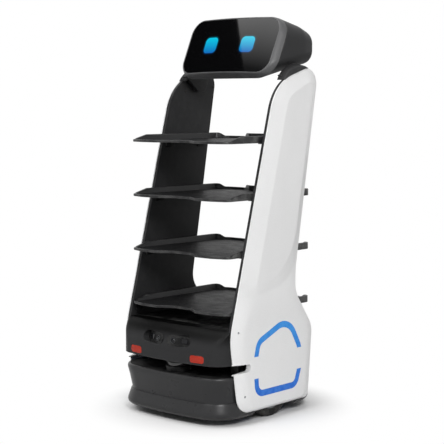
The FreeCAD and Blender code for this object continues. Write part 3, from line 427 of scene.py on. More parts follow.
# ---------------------------------------------------------------- drive wheels
# Solid polyurethane tyres bonded to the rotor of a hub motor. The tread has three grooves
# round it and slanting cuts across its shoulders; the motor's covers are cast aluminium.
def lathe(name, profile, centre, axis, steps=96):
    """A closed profile, given as distance from the axis and place along it, spun round."""
    line = Vector(axis).normalized()
    side = line.orthogonal().normalized()
    points = [Vector(centre) + side * radius + line * along for radius, along in profile]
    count = len(points)
    mesh = bpy.data.meshes.new(name)
    mesh.from_pydata(points, [(i, (i + 1) % count) for i in range(count)], [])
    piece = bpy.data.objects.new(name, mesh)
    bpy.context.collection.objects.link(piece)
    work_on(piece)
    bpy.ops.object.mode_set(mode="EDIT")
    bpy.ops.mesh.select_all(action="SELECT")
    bpy.ops.mesh.spin(steps=steps, angle=2 * math.pi, center=centre, axis=axis)
    bpy.ops.mesh.select_all(action="SELECT")
    bpy.ops.mesh.remove_doubles(threshold=0.000005)
    bpy.ops.mesh.normals_make_consistent(inside=False)
    bpy.ops.object.mode_set(mode="OBJECT")
    return piece


def mirrored(piece, name):
    """The left-hand twin of a piece, with its own mesh turned the right way out."""
    twin = bpy.data.objects.new(name, piece.data.copy())
    bpy.context.collection.objects.link(twin)
    twin.data.transform(Matrix.Scale(-1, 4, (1, 0, 0)))
    twin.data.flip_normals()
    return twin


def smooth(piece, degrees=32):
    work_on(piece)
    bpy.ops.object.shade_smooth_by_angle(angle=math.radians(degrees))


def carve(piece, cutter, how="DIFFERENCE"):
    """Cuts, or joins, one piece with another, which is then dropped."""
    boolean = piece.modifiers.new("carve", "BOOLEAN")
    boolean.operation = how
    boolean.solver = "EXACT"
    boolean.object = cutter
    apply_all(piece)
    bpy.data.objects.remove(cutter)


tread = [(0.0542, -0.0178), (0.0690, -0.0178), (0.0728, -0.0164), (0.0748, -0.0140),
         (0.0757, -0.0112), (0.0758, -0.0092), (0.0738, -0.0088), (0.0738, -0.0072),
         (0.0758, -0.0068), (0.0759, -0.0012), (0.0738, -0.0008), (0.0738, 0.0008),
         (0.0759, 0.0012), (0.0758, 0.0068), (0.0738, 0.0072), (0.0738, 0.0088),
         (0.0758, 0.0092), (0.0757, 0.0112), (0.0748, 0.0140), (0.0728, 0.0164),
         (0.0690, 0.0178), (0.0542, 0.0178), (0.0541, 0.0)]
rubber = finish("tyre_rubber", tone_of(24, 24, 24), 0.72, specular=0.15, grain=1100.0,
                smudge=0.2, wear=0.1, dust=0.15, depth=0.00015)
cuts = rubber.node_tree
angle = add(cuts, "SeparateXYZ")
feed(cuts, angle.inputs[0], add(cuts, "TexCoord").outputs["Object"])
across = maths(cuts, "ABSOLUTE", maths(cuts, "SUBTRACT", maths(
    cuts, "ABSOLUTE", angle.outputs["X"]), 0.166))
turn = maths(cuts, "ARCTAN2", maths(cuts, "SUBTRACT", angle.outputs["Z"], 0.076),
             angle.outputs["Y"])
turn = maths(cuts, "ADD", maths(cuts, "MULTIPLY", turn, 72 / (2 * math.pi)),
             maths(cuts, "MULTIPLY", across, 60.0))
ridge = spread(cuts, maths(cuts, "PINGPONG", turn, 0.5), 0.06, 0.14, 0.0, 1.0)
ridge = maths(cuts, "MAXIMUM", ridge, spread(cuts, across, 0.0086, 0.0092, 1.0, 0.0))
relief = add(cuts, "Bump")
relief.inputs["Distance"].default_value = 0.0012
feed(cuts, relief.inputs["Height"], ridge)
feed(cuts, relief.inputs["Normal"], cuts.nodes["Bump"].outputs["Normal"])
feed(cuts, cuts.nodes["Principled BSDF"].inputs["Normal"], relief.outputs["Normal"])

hub_profile = [(0.0081, -0.0158), (0.0440, -0.0158), (0.0462, -0.0150), (0.0500, -0.0166),
               (0.0538, -0.0168), (0.0539, 0.0168), (0.0500, 0.0166), (0.0462, 0.0128),
               (0.0300, 0.0144), (0.0262, 0.0148), (0.0250, 0.0144), (0.0222, 0.0100),
               (0.0081, 0.0100)]
for side, x in (("right", 0.166), ("left", -0.166)):
    hand = 1 if x > 0 else -1
    tyre = lathe("tyre_" + side, [(r, hand * a) for r, a in tread], (x, 0, 0.076), (1, 0, 0), 128)
    smooth(tyre, 30)
    place_on(tyre, rubber, "drive_wheel_" + side, "tyre_rubber", "drive_tyre_" + side)
    motor = lathe("motor_case_" + side, [(r, hand * a) for r, a in hub_profile],
                  (x, 0, 0.076), (1, 0, 0), 96)
    for number in range(6):
        turn = math.radians(60 * number + 30)
        bpy.ops.object.select_all(action="DESELECT")
        bpy.ops.mesh.primitive_cylinder_add(
            vertices=24, radius=0.0032, depth=0.006, rotation=(0, math.pi / 2, 0),
            location=(x + hand * 0.0155, 0.0365 * math.cos(turn), 0.076 + 0.0365 * math.sin(turn)))
        hole = bpy.context.object
        bpy.ops.object.transform_apply(location=True, rotation=True, scale=True)
        carve(motor, hole)
    smooth(motor, 30)
    place_on(motor, cast, "drive_wheel_" + side, "aluminium", "hub_motor_" + side)

# ---------------------------------------------------------------- casters
# Four 50 mm swivel casters: a pressed and zinc plated fork on a kingpin and plate, and a
# grey rubber wheel moulded on a nylon hub with a recess on each face.
grey_rubber = finish("grey_caster_rubber", tone_of(44, 44, 46), 0.66, specular=0.15,
                     grain=1300.0, smudge=0.2, wear=0.1, dust=0.15, depth=0.0001)
roller = [(0.0032, -0.0088), (0.0088, -0.0088), (0.0098, -0.0084), (0.0112, -0.0060),
          (0.0168, -0.0060), (0.0182, -0.0082), (0.0190, -0.0088), (0.0212, -0.0088),
          (0.0234, -0.0076), (0.0246, -0.0048), (0.0249, -0.0020), (0.0249, 0.0020),
          (0.0246, 0.0048), (0.0234, 0.0076), (0.0212, 0.0088), (0.0190, 0.0088),
          (0.0182, 0.0082), (0.0168, 0.0060), (0.0112, 0.0060), (0.0098, 0.0084),
          (0.0088, 0.0088), (0.0032, 0.0088)]
for number in range(1, 5):
    low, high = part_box("caster_wheel_%d" % number)
    middle = ((low[0] + high[0]) / 2, (low[1] + high[1]) / 2, (low[2] + high[2]) / 2)
    wheel = lathe("caster_roller_%d_rubber" % number, roller, middle, (1, 0, 0), 64)
    smooth(wheel, 30)
    place_on(wheel, grey_rubber, "caster_roller_%d" % number, "caster_rubber",
             "caster_wheel_%d" % number)
    fork = refined("caster_fork_%d" % number, "caster_fork_pressing_%d" % number, 0.0004)
    place_on(fork, zinc, "caster_swivel_%d" % number, "steel", "caster_fork_%d" % number)
mounts = refined("caster_plates", "caster_mounting_plates", 0.0004)
place_on(mounts, zinc, "chassis", "steel", "caster_plates")

# ---------------------------------------------------------------- battery
# A lithium pack in a folded aluminium case between the drive wheels, black anodised, with
# ribs along its sides and a recessed lid held by its edge.
low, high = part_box("battery_pack")
deselect()
bpy.ops.mesh.primitive_cube_add(size=1, location=[(a + b) / 2 for a, b in zip(low, high)])
battery = bpy.context.object
battery.name = "battery_case"
battery.scale = [b - a - 0.0004 for a, b in zip(low, high)]
bpy.ops.object.transform_apply(location=True, rotation=True, scale=True)


def pick(piece, test):
    """Selects the faces of a piece that pass a test on their middle and normal."""
    bpy.ops.object.mode_set(mode="OBJECT")
    piece.data.polygons.foreach_set("select", [False] * len(piece.data.polygons))
    for vertex in piece.data.vertices:
        vertex.select = False
    for line in piece.data.edges:
        line.select = False
    for face in piece.data.polygons:
        if test(face.center, face.normal):
            face.select = True
    bpy.ops.object.mode_set(mode="EDIT")
    bpy.ops.mesh.select_mode(type="FACE")


work_on(battery)
pick(battery, lambda c, n: n.z > 0.9)
bpy.ops.mesh.inset(thickness=0.007, depth=0)
bpy.ops.mesh.inset(thickness=0.0012, depth=-0.0012)
pick(battery, lambda c, n: abs(n.y) > 0.9 or abs(n.x) > 0.9)
bpy.ops.mesh.inset(thickness=0.010, depth=0)
bpy.ops.mesh.subdivide(number_cuts=6)
pick(battery, lambda c, n: (abs(n.y) > 0.9 or abs(n.x) > 0.9) and 0.088 < c.z < 0.116)
bpy.ops.mesh.inset(thickness=0.0022, depth=-0.0014, use_individual=True)
bpy.ops.object.mode_set(mode="OBJECT")
round_edges(battery, 0.0009, 2, 40)
anodised = finish("black_anodised", tone_of(26, 27, 30), 0.42, metallic=0.4, specular=0.2,
                  grain=1800.0, smudge=0.12, wear=0.4, dust=0.2)
place_on(battery, anodised, "chassis", "battery_case", "battery_pack")

# ---------------------------------------------------------------- decks and pillars
# Two folded sheet decks with a bridge between the wheels, and the floor of the tray bay,
# all 3 mm galvanised steel under a satin black coat. Four square tubes hold them apart.
satin_coat = finish("satin_black_sheet", tone_of(13, 13, 14), 0.6, specular=0.08, grain=1300.0,
                    smudge=0.14, wear=0.15, dust=0.1)
for node, name in (("lower_deck", "lower_deck_sheets"), ("upper_deck", "upper_deck_sheet"),
                   ("bay_floor", "tray_bay_floor")):
    deck = refined(node, name, 0.0005)
    place_on(deck, satin_coat, "chassis", "dark_sheet", node)
posts = refined("deck_pillars", "deck_pillar_tubes", 0.0016, 3)
place_on(posts, black_coat, "chassis", "steel", "deck_pillars")

# ---------------------------------------------------------------- laser scanner
# A flat ring scanner on the lower deck, looking out through the slot: a moulded base and
# cap, with a dark infrared window between them.
scanner_black = finish("scanner_plastic", tone_of(20, 20, 21), 0.42, specular=0.15,
                       grain=1600.0, smudge=0.1, wear=0.15, dust=0.1)
body_profile = [(0.0002, 0.0), (0.0352, 0.0), (0.0359, 0.0007), (0.0359, 0.0110),
                (0.0350, 0.0124), (0.0301, 0.0126), (0.0300, 0.0224), (0.0350, 0.0226),
                (0.0359, 0.0234), (0.0359, 0.0275), (0.0345, 0.0292), (0.0310, 0.0298),
                (0.0290, 0.0292), (0.0002, 0.0292)]
low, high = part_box("lidar_body")
base = ((low[0] + high[0]) / 2, (low[1] + high[1]) / 2, low[2])
scanner = lathe("scanner_case", body_profile, base, (0, 0, 1), 96)
smooth(scanner, 30)
place_on(scanner, scanner_black, "chassis", "camera_black", "lidar_body")
window = lathe("scanner_window", [(0.0303, 0.0128), (0.0338, 0.0128), (0.0340, 0.0132),
                                  (0.0340, 0.0220), (0.0338, 0.0223), (0.0303, 0.0223)],
               base, (0, 0, 1), 96)
smooth(window, 30)
infrared = finish("infrared_window", tone_of(14, 10, 12), 0.08, specular=0.6, grain=900.0,
                  smudge=0.05, wear=0.0, dust=0.0, depth=0.000004)
infrared.node_tree.nodes["Principled BSDF"].inputs["Coat Weight"].default_value = 0.6
place_on(window, infrared, "chassis", "lidar_window", "lidar_window")

# ---------------------------------------------------------------- control box
# The drive controller on the upper deck: a die-cast case with cooling fins along its lid,
# black anodised, screwed down at its feet.
low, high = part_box("control_box")
deselect()
bpy.ops.mesh.primitive_cube_add(size=1, location=[(a + b) / 2 for a, b in zip(low, high)])
controller = bpy.context.object
controller.name = "controller_case"
controller.scale = [b - a - 0.0004 for a, b in zip(low, high)]
bpy.ops.object.transform_apply(location=True, rotation=True, scale=True)
pick(controller, lambda c, n: n.z > 0.9)
bpy.ops.mesh.inset(thickness=0.012, depth=0)
bpy.ops.mesh.subdivide(number_cuts=16)
bpy.ops.object.mode_set(mode="OBJECT")
lines = sorted({round(face.center.x, 4) for face in controller.data.polygons
                if face.normal.z > 0.9 and abs(face.center.x) < (high[0] - 0.013)
                and abs(face.center.y) < (high[1] - 0.013)})
sunk = set(lines[1::2])
pick(controller, lambda c, n: n.z > 0.9 and abs(c.y) < high[1] - 0.013
     and round(c.x, 4) in sunk)
bpy.ops.mesh.extrude_region_move(TRANSFORM_OT_translate={"value": (0, 0, -0.014)})
bpy.ops.object.mode_set(mode="OBJECT")
round_edges(controller, 0.0008, 2, 40)
place_on(controller, anodised, "chassis", "dark_panel", "control_box")

# ---------------------------------------------------------------- skirts
# Charcoal ABS skirts round the foot of the base, one for each end: a slightly hollow wall
# over a lip that flares out to the floor. Moulded 3 mm thick and clipped to the chassis.
def loop(corners, arcs, edge_steps):
    """A closed outline with rounded corners and a fixed number of points per stretch."""
    count = len(corners)
    ends = []
    for index, (u, v, radius) in enumerate(corners):
        here = np.array((u, v))
        back = np.array(corners[index - 1][:2]) - here
        front = np.array(corners[(index + 1) % count][:2]) - here
        back = back / np.linalg.norm(back)
        front = front / np.linalg.norm(front)
        half = math.acos(float(np.clip(back @ front, -1, 1))) / 2
        reach = radius / math.tan(half)
        centre = here + (back + front) / np.linalg.norm(back + front) * radius / math.sin(half)
        first, last = here + back * reach - centre, here + front * reach - centre
        start = math.atan2(first[1], first[0])
        turn = (math.atan2(last[1], last[0]) - start + math.pi) % (2 * math.pi) - math.pi
        steps = arcs if isinstance(arcs, int) else arcs[index]
        angles = start + turn * np.linspace(0, 1, steps + 1)
        ends.append(centre + radius * np.stack((np.cos(angles), np.sin(angles)), 1))
    points = []
    for index, arc in enumerate(ends):
        following = ends[(index + 1) % count][0]
        points.extend(arc)
        for step in range(1, edge_steps):
            points.append(arc[-1] + (following - arc[-1]) * step / edge_steps)
    return np.array(points)


def mesh_piece(name, vertices, faces):
    data = bpy.data.meshes.new(name)
    data.from_pydata([tuple(map(float, v)) for v in vertices], [], faces)
    data.update()
    piece = bpy.data.objects.new(name, data)
    bpy.context.collection.objects.link(piece)
    work_on(piece)
    return piece


def grid_faces(rows, columns, closed=False):
    """Quads between neighbouring rows; closed joins the last column to the first."""
    faces = []
    for row in range(rows - 1):
        for column in range(columns if closed else columns - 1):
            ahead = (column + 1) % columns
            faces.append((row * columns + column, row * columns + ahead,
                          (row + 1) * columns + ahead, (row + 1) * columns + column))
    return faces


def face_out(piece):
    work_on(piece)
    bpy.ops.object.mode_set(mode="EDIT")
    bpy.ops.mesh.select_all(action="SELECT")
    bpy.ops.mesh.normals_make_consistent(inside=False)
    bpy.ops.object.mode_set(mode="OBJECT")


def slab(name, outline, low_x, high_x):
    """A closed outline in Y and Z as a block between two distances from the middle."""
    count = len(outline)
    vertices = [(x, y, z) for x in (low_x, high_x) for y, z in outline]
    faces = [tuple(range(count)), tuple(range(count, 2 * count))]
    faces += [(i, (i + 1) % count, count + (i + 1) % count, count + i) for i in range(count)]
    block = mesh_piece(name, vertices, faces)
    face_out(block)
    return block


def grown(outline, distance):
    """An outline moved outwards along its normals."""
    ahead = np.roll(outline, -1, axis=0) - outline
    behind = outline - np.roll(outline, 1, axis=0)
    unit = ahead / np.maximum(np.linalg.norm(ahead, axis=1), 1e-9)[:, None]
    unit = unit + behind / np.maximum(np.linalg.norm(behind, axis=1), 1e-9)[:, None]
    unit = unit / np.maximum(np.linalg.norm(unit, axis=1), 1e-9)[:, None]
    area = (outline[:, 0] * np.roll(outline[:, 1], -1)
            - np.roll(outline[:, 0], -1) * outline[:, 1]).sum()
    out = np.stack((unit[:, 1], -unit[:, 0]), 1) * (1 if area > 0 else -1)
    return outline + out * distance


def body_plan(half, depth, corner, rear_corner=0.120):
    """The base seen from above: bowed front and rear, four rounded corners."""
    ends = []
    for bow, slope in ((0.9, 6), (0.4, 12)):
        slant = math.radians(slope)
        middle = depth + bow * (1 / math.cos(slant) - 1)
        ends.append((middle, middle - half * math.tan(slant)))
    (front, front_side), (rear, rear_side) = ends
    corners = [(0, -front, 0.9), (half, -front_side, corner), (half, rear_side, rear_corner),
               (0, rear, 0.4), (-half, rear_side, rear_corner), (-half, -front_side, corner)]
    return loop(corners, (40, 24, 24, 32, 24, 24), 10)


column_corners = [(-0.150, 0.031, 0.050), (0.143, 0.031, 0.014), (0.156, 0.232, 0.055),
                  (0.078, 0.336, 0.060), (0.188, 0.962, 0.042), (0.0, 0.904, 0.130),
                  (-0.183, 0.235, 0.160)]
column_outline = loop(column_corners, 20, 24)
sections = np.array([(20, -8.5, -8, 82), (22.5, -4.6, -3.6, 86), (26, -1.6, -1.2, 87.5),
                     (29, -0.2, -0.1, 88), (33, 0, 0, 88), (38, -1, -1, 88),
                     (46, -3.7, -4.2, 84.5), (56, -7.0, -8.4, 80), (61.0, -8.8, -10.2, 78),
                     (62.0, -9.4, -10.8, 77.4), (62.6, -10.4, -11.8, 76.5),
                     (62.9, -12.2, -13.6, 74.8), (64.0, -12.7, -14.0, 73.4),
                     (68, -12.6, -13.6, 73), (84, -11.0, -10.2, 73.4), (100, -9.4, -6.8, 74),
                     (112, -7.9, -3.6, 74), (122, -6.7, -1.3, 74), (126, -6.6, -1.0, 74),
                     (129, -7.1, -1.6, 74), (131, -8.0, -2.6, 74), (132, -9.4, -4.2, 74)])
rings = [body_plan(0.1975 + (half - 3) / 1000, 0.231 + (depth - 3) / 1000, corner / 1000 - 0.003)
         for z, half, depth, corner in sections[::-1]]
rings = [body_plan(0.1975 + half / 1000, 0.231 + depth / 1000, corner / 1000)
         for z, half, depth, corner in sections] + rings
heights = list(sections[:, 0] / 1000) + list(sections[::-1, 0] / 1000)
columns = len(rings[0])
vertices = [(x, y, z) for ring, z in zip(rings, heights) for x, y in ring]
faces = grid_faces(len(rings), columns, True)
last = (len(rings) - 1) * columns
faces += [(last + i, last + (i + 1) % columns, (i + 1) % columns, i) for i in range(columns)]
skirt_ring = mesh_piece("skirt_ring", vertices, faces)
bpy.ops.object.mode_set(mode="EDIT")
bpy.ops.mesh.select_all(action="SELECT")
bpy.ops.mesh.normals_make_consistent(inside=False)
bpy.ops.object.mode_set(mode="OBJECT")
for hand in (1, -1):
    outline = grown(column_outline, 0.0003)
    carve(skirt_ring, slab("column_space", outline, min(hand * 0.1907, hand * 0.23),
                           max(hand * 0.1907, hand * 0.23)))
charcoal_tone = tone_of(42, 42, 43)
charcoal = finish("charcoal_moulding", charcoal_tone, 0.30, specular=0.24, grain=1300.0,
                  smudge=0.07, wear=0.06, dust=0.0, depth=0.00006)
for name, low_y, high_y in (("front_skirt", -0.3, -0.088), ("rear_skirt", 0.088, 0.3)):
    part = bpy.data.objects.new(name + "_moulding", skirt_ring.data.copy())
    bpy.context.collection.objects.link(part)
    block = [(low_y, -0.05), (high_y, -0.05), (high_y, 0.25), (low_y, 0.25)]
    carve(part, slab("end_of_ring", block, -0.3, 0.3), "INTERSECT")
    if name == "rear_skirt":
        window = loop([(-0.0561, 0.0759, 0.003), (0.0561, 0.0759, 0.003),
                       (0.0561, 0.1061, 0.003), (-0.0561, 0.1061, 0.003)], 6, 2)
        count = len(window)
        vertices = [(x, y, z) for y in (0.19, 0.26) for x, z in window]
        faces = [tuple(range(count)), tuple(range(count, 2 * count))]
        faces += [(i, (i + 1) % count, count + (i + 1) % count, count + i)
                  for i in range(count)]
        cutter = mesh_piece("contact_window", vertices, faces)
        face_out(cutter)
        carve(part, cutter)
    smooth(part, 22)
    place_on(part, charcoal, "chassis", "body_charcoal", name)
bpy.data.objects.remove(skirt_ring)

# ---------------------------------------------------------------- charging contacts
# Four gold-plated copper strips on a black carrier behind the rear skirt, where the robot
# backs on to its dock. The strips are pressed, with rounded ends, and spring out a little.
contacts_black = finish("contact_carrier", tone_of(24, 24, 25), 0.5, specular=0.2,
                        grain=1500.0, smudge=0.1, wear=0.1, dust=0.3)
contacts = refined("charge_contacts", "charging_contacts", 0.0012, 3)
place_on(contacts, contacts_black, "chassis", "copper", "charge_contacts")
copper = finish("gold_plated_copper", tone_of(206, 150, 88), 0.3, metallic=1.0, group=metal,
                stain=0.3, depth=0.00001)
contacts.data.materials.append(copper)
for face in contacts.data.polygons:
    if face.center.y > 0.2192:
        face.material_index = 1

# ---------------------------------------------------------------- side plates
# The columns' inner faces: dark ABS skins over a steel core, 9 mm thick, that carry the
# trays. An aluminium upright stands behind each one, inside the white shell.
panel_black = finish("side_plate_moulding", tone_of(40, 40, 41), 0.5, specular=0.15,
                     grain=1200.0, smudge=0.06, wear=0.12, dust=0.0, depth=0.00006)
for side in ("left", "right"):
    plate = refined("side_plate_" + side, "side_plate_moulding_" + side, 0.0012, 3)
    place_on(plate, panel_black, "chassis", "dark_panel", "side_plate_" + side)
    upright = refined("upright_" + side, "upright_extrusion_" + side, 0.0006)
    place_on(upright, cast, "chassis", "aluminium", "upright_" + side)
brackets = refined("tray_brackets", "tray_bracket_angles", 0.0004)
place_on(brackets, satin_coat, "chassis", "dark_sheet", "tray_brackets")

# socket-head screws that hold the brackets and the head to the side plates
screw_black = finish("blackened_screw", tone_of(20, 20, 21), 0.35, metallic=0.6, group=metal,
                     stain=0.2, depth=0.00001)


def cap_screw(name, place, out, radius=0.003):
    """A low cap screw with a hexagon socket, standing out from a face."""
    profile = [(0.0001, 0.0), (radius, 0.0), (radius, 0.0007), (radius * 0.88, 0.0011),
               (0.0001, 0.0011)]
    screw = lathe(name, profile, place, out, 24)
    bpy.ops.object.select_all(action="DESELECT")
    bpy.ops.mesh.primitive_cylinder_add(vertices=6, radius=radius * 0.45, depth=0.0012)
    socket = bpy.context.object
    turn = Vector((0, 0, 1)).rotation_difference(Vector(out)).to_matrix().to_4x4()
    socket.data.transform(Matrix.Translation(Vector(place) + Vector(out) * 0.0012) @ turn)
    carve(screw, socket)
    smooth(screw, 30)
    return screw


# ---------------------------------------------------------------- trays
# Four injection-moulded trays with a raised rim at each side, a low lip in front for
# reaching in, and lobed ends. The floor has a pattern of small studs to stop cups sliding.
def tray_corners(points, radii):
    across = [(x, y, r) for (x, y), r in zip(points, radii)]
    row = across + [(-x, y, r) for x, y, r in reversed(across)]
    return row + [(x, -y, r) for x, y, r in reversed(row)]


tray_outer = loop(tray_corners([(0.1788, 0.172), (0.1288, 0.188), (0.072, 0.188),
                                (0.030, 0.162)], (0.022, 0.016, 0.022, 0.022)), 10, 8)
tray_well = loop(tray_corners([(0.1708, 0.168), (0.1268, 0.184), (0.074, 0.184),
                               (0.032, 0.158)], (0.016, 0.014, 0.020, 0.024)), 10, 8)


def rim_height(y):
    front = np.clip((y + 0.162) / 0.021, 0, 1)
    rear = np.clip((0.180 - y) / 0.008, 0, 1)
    front = front * front * (3 - 2 * front)
    rear = rear * rear * (3 - 2 * rear)
    return np.where(y < 0, 0.004 + 0.012 * front, 0.007 + 0.009 * rear)


rows = []
for share in (0.02, 0.3, 0.6, 0.85, 0.96):
    rows.append((tray_well * share, np.full(len(tray_well), -0.003)))
for share, drop in ((0.30, -0.003), (0.10, -0.0027), (0.0, -0.0018)):
    rows.append((tray_outer * (1 - share) + tray_well * share,
                 np.full(len(tray_well), drop)))
for share, down in ((0.0, 0.0016), (0.06, 0.0007), (0.20, 0.00015), (0.36, 0.0),
                    (0.64, 0.0), (0.80, 0.00015), (0.94, 0.0007), (1.0, 0.0016)):
    line = tray_outer * (1 - share) + tray_well * share
    rows.append((line, rim_height(line[:, 1]) - down))
for share, rise in ((1.00, 0.0019), (1.05, 0.0009), (1.16, 0.0003), (1.34, 0.0)):
    line = tray_outer * (1 - share) + tray_well * share
    rows.append((line, np.full(len(line), rise)))
for share in (0.965, 0.94, 0.80, 0.60, 0.40, 0.20, 0.02):
    rows.append((tray_well * share, np.zeros(len(tray_well))))
columns = len(tray_outer)
tray_plastic = finish("tray_plastic", tone_of(34, 34, 35), 0.34, specular=0.26, grain=1400.0,
                      smudge=0.10, wear=0.22, dust=0.0, depth=0.00006)
tray_grip = finish("tray_grip_floor", tone_of(31, 31, 32), 0.5, specular=0.12, grain=1500.0,
                   smudge=0.16, wear=0.0, dust=0.0, depth=0.00008)
studs = tray_grip.node_tree
spot = add(studs, "SeparateXYZ")
feed(studs, spot.inputs[0], add(studs, "TexCoord").outputs["Object"])
near_x = maths(studs, "PINGPONG", maths(studs, "ADD", spot.outputs["X"], spot.outputs["Y"]), 0.005)
near_y = maths(studs, "PINGPONG", maths(studs, "SUBTRACT", spot.outputs["X"],
                                        spot.outputs["Y"]), 0.005)
away = maths(studs, "SQRT", maths(studs, "ADD", maths(studs, "POWER", near_x, 2.0),
                                  maths(studs, "POWER", near_y, 2.0)))
stud = spread(studs, away, 0.0009, 0.0020, 1.0, 0.0, True)
relief = add(studs, "Bump")
relief.inputs["Distance"].default_value = 0.0004
feed(studs, relief.inputs["Height"], stud)
feed(studs, relief.inputs["Normal"], studs.nodes["Bump"].outputs["Normal"])
feed(studs, studs.nodes["Principled BSDF"].inputs["Normal"], relief.outputs["Normal"])

vertices = [(x, y, z) for line, up in rows for (x, y), z in zip(line, up)]
faces = grid_faces(len(rows), columns, True)
faces.append(tuple(range(columns)))
faces.append(tuple(range((len(rows) - 1) * columns, len(rows) * columns)))
master = mesh_piece("tray_master", vertices, faces)
face_out(master)
for number in range(1, 5):
    tray = bpy.data.objects.new("serving_tray_%d" % number, master.data.copy())
    bpy.context.collection.objects.link(tray)
    tray.data.transform(Matrix.Translation((0, 0, 0.747 - 0.150 * (number - 1))))
    smooth(tray, 34)
    place_on(tray, tray_plastic, "chassis", "tray_plastic", "tray_%d" % number)
    tray.data.materials.append(tray_grip)
    base = 0.747 - 0.150 * (number - 1)
    for face in tray.data.polygons:
        if abs(face.center.z - base) < 0.00002 and face.normal.z > 0.99:
            face.material_index = 1
bpy.data.objects.remove(master)

# ---------------------------------------------------------------- body covers
# The upper body's charcoal ABS covers, front and rear: upright below, rolled back under the lowest
# tray, with a soft crease where the roll meets the rounded corners. The front one has two dished
# recesses for the depth cameras and two openings for the lamps. Its rolled top carries a painted
# shadow of the lowest tray.
def soft_min(a, b, width):
    blend = np.clip(0.5 + 0.5 * (b - a) / width, 0, 1)
    return b + (a - b) * blend - width * blend * (1 - blend)


def cover(depth, bottom, bow, front, inset=0.0):
    """One end's skin as rows of points, upright below and rolled back above."""
    sign = -1 if front else 1
    plan = body_plan(0.191, depth, 0.062, 0.115)
    keep = grown(plan, -inset) if inset else plan
    keep = keep[(keep[:, 1] * sign) > 0.1502]
    keep = keep[np.argsort(np.arctan2(keep[:, 0], keep[:, 1] * sign))]
    ends = np.array([[-0.191 + inset, sign * 0.150], [0.191 - inset, sign * 0.150]])
    keep = np.concatenate((ends[:1], keep, ends[1:]))
    steps = np.concatenate(((0,), np.cumsum(np.linalg.norm(np.diff(keep, axis=0), axis=1))))
    at = np.linspace(0, steps[-1], 201)
    keep = np.stack([np.interp(at, steps, keep[:, i]) for i in (0, 1)], 1)
    centre = np.array((0, sign * 0.050))
    ray = keep - centre
    reach = np.linalg.norm(ray, axis=1)
    ray = ray / reach[:, None]
    offset = centre - np.array((0, sign * (depth - bow)))
    roll = 0.080 - inset
    lean = np.linspace(0, math.asin((0.068 - inset) / roll), 26)
    levels = list(np.linspace(bottom, 0.190, 12)) + [0.190 + roll * math.sin(a)
                                                     for a in lean[1:]]
    rows = []
    for z in levels:
        set_back = roll - math.sqrt(roll ** 2 - max(z - 0.190, 0) ** 2)
        radius = bow - inset - set_back
        along = ray @ offset
        disc = -along + np.sqrt(np.maximum(along ** 2 - offset @ offset + radius ** 2, 0))
        width = min(max(set_back * 0.6, 1e-6), 0.009)
        line = soft_min(reach, disc, width)
        rows.append([(*(centre + d * r), z) for d, r in zip(ray, line)])
    top = np.array(rows[-1])
    back = top.copy()
    back[:, 1] = sign * 0.150
    back[:, 0] = np.linspace(-0.1812, 0.1812, len(top))
    return np.array(rows + [top * 0.6 + back * 0.4, back])


def walled(name, outer, inner):
    """A closed piece between an outer and an inner skin that are made of matching rows."""
    count, columns = outer.shape[:2]
    levels = np.concatenate((outer, inner[::-1]))
    faces = grid_faces(2 * count, columns)
    last = (2 * count - 1) * columns
    faces += [(last + i, last + i + 1, i + 1, i) for i in range(columns - 1)]
    for end in (0, columns - 1):
        for row in range(count - 1):
            far = 2 * count - 1 - row
            faces.append((row * columns + end, (row + 1) * columns + end,
                          (far - 1) * columns + end, far * columns + end))
    piece = mesh_piece(name, levels.reshape(-1, 3), faces)
    face_out(piece)
    return piece


def free_of_columns(piece):
    """Cuts away what the columns and their shells take up, and a fine gap."""
    for hand in (1, -1):
        carve(piece, slab("column_space", grown(column_outline, 0.0003),
                          min(hand * 0.1817, hand * 0.23), max(hand * 0.1817, hand * 0.23)))


front_cover = walled("front_cover_moulding", cover(0.231, 0.165, 0.900, True),
                     cover(0.231, 0.165, 0.900, True, 0.003))
free_of_columns(front_cover)
rear_cover = walled("rear_cover_moulding", cover(0.226, 0.134, 0.400, False),
                    cover(0.226, 0.134, 0.400, False, 0.003))
free_of_columns(rear_cover)
deselect()
bpy.ops.mesh.primitive_cylinder_add(vertices=48, radius=0.011, depth=0.06,
                                    location=(0, 0.220, 0.186), rotation=(math.pi / 2, 0, 0))
hole = bpy.context.object
bpy.ops.object.transform_apply(location=True, rotation=True, scale=True)
carve(rear_cover, hole)
smooth(rear_cover, 22)
place_on(rear_cover, charcoal, "chassis", "body_charcoal", "rear_cover")


def pill(name, long, high, levels, spot, hand=1):
    """A pill-shaped block in a recess's own frame, as (growth, place out) levels."""
    rings = []
    for grow, out in levels:
        half, up = long / 2 + grow, high / 2 + grow
        radius = up - 0.00002
        outline = loop([(-half, -up, radius), (half, -up, radius), (half, up, radius),
                        (-half, up, radius)], 16, 4)
        rings.append([spot @ Vector((u, v, out)) for u, v in outline])
    count = len(rings[0])
    vertices = [(hand * p.x, p.y, p.z) for ring in rings for p in ring]
    faces = grid_faces(len(rings), count, True)
    faces += [tuple(range(count)), tuple(range((len(rings) - 1) * count, len(rings) * count))]
    block = mesh_piece(name, vertices, faces)
    face_out(block)
    return block


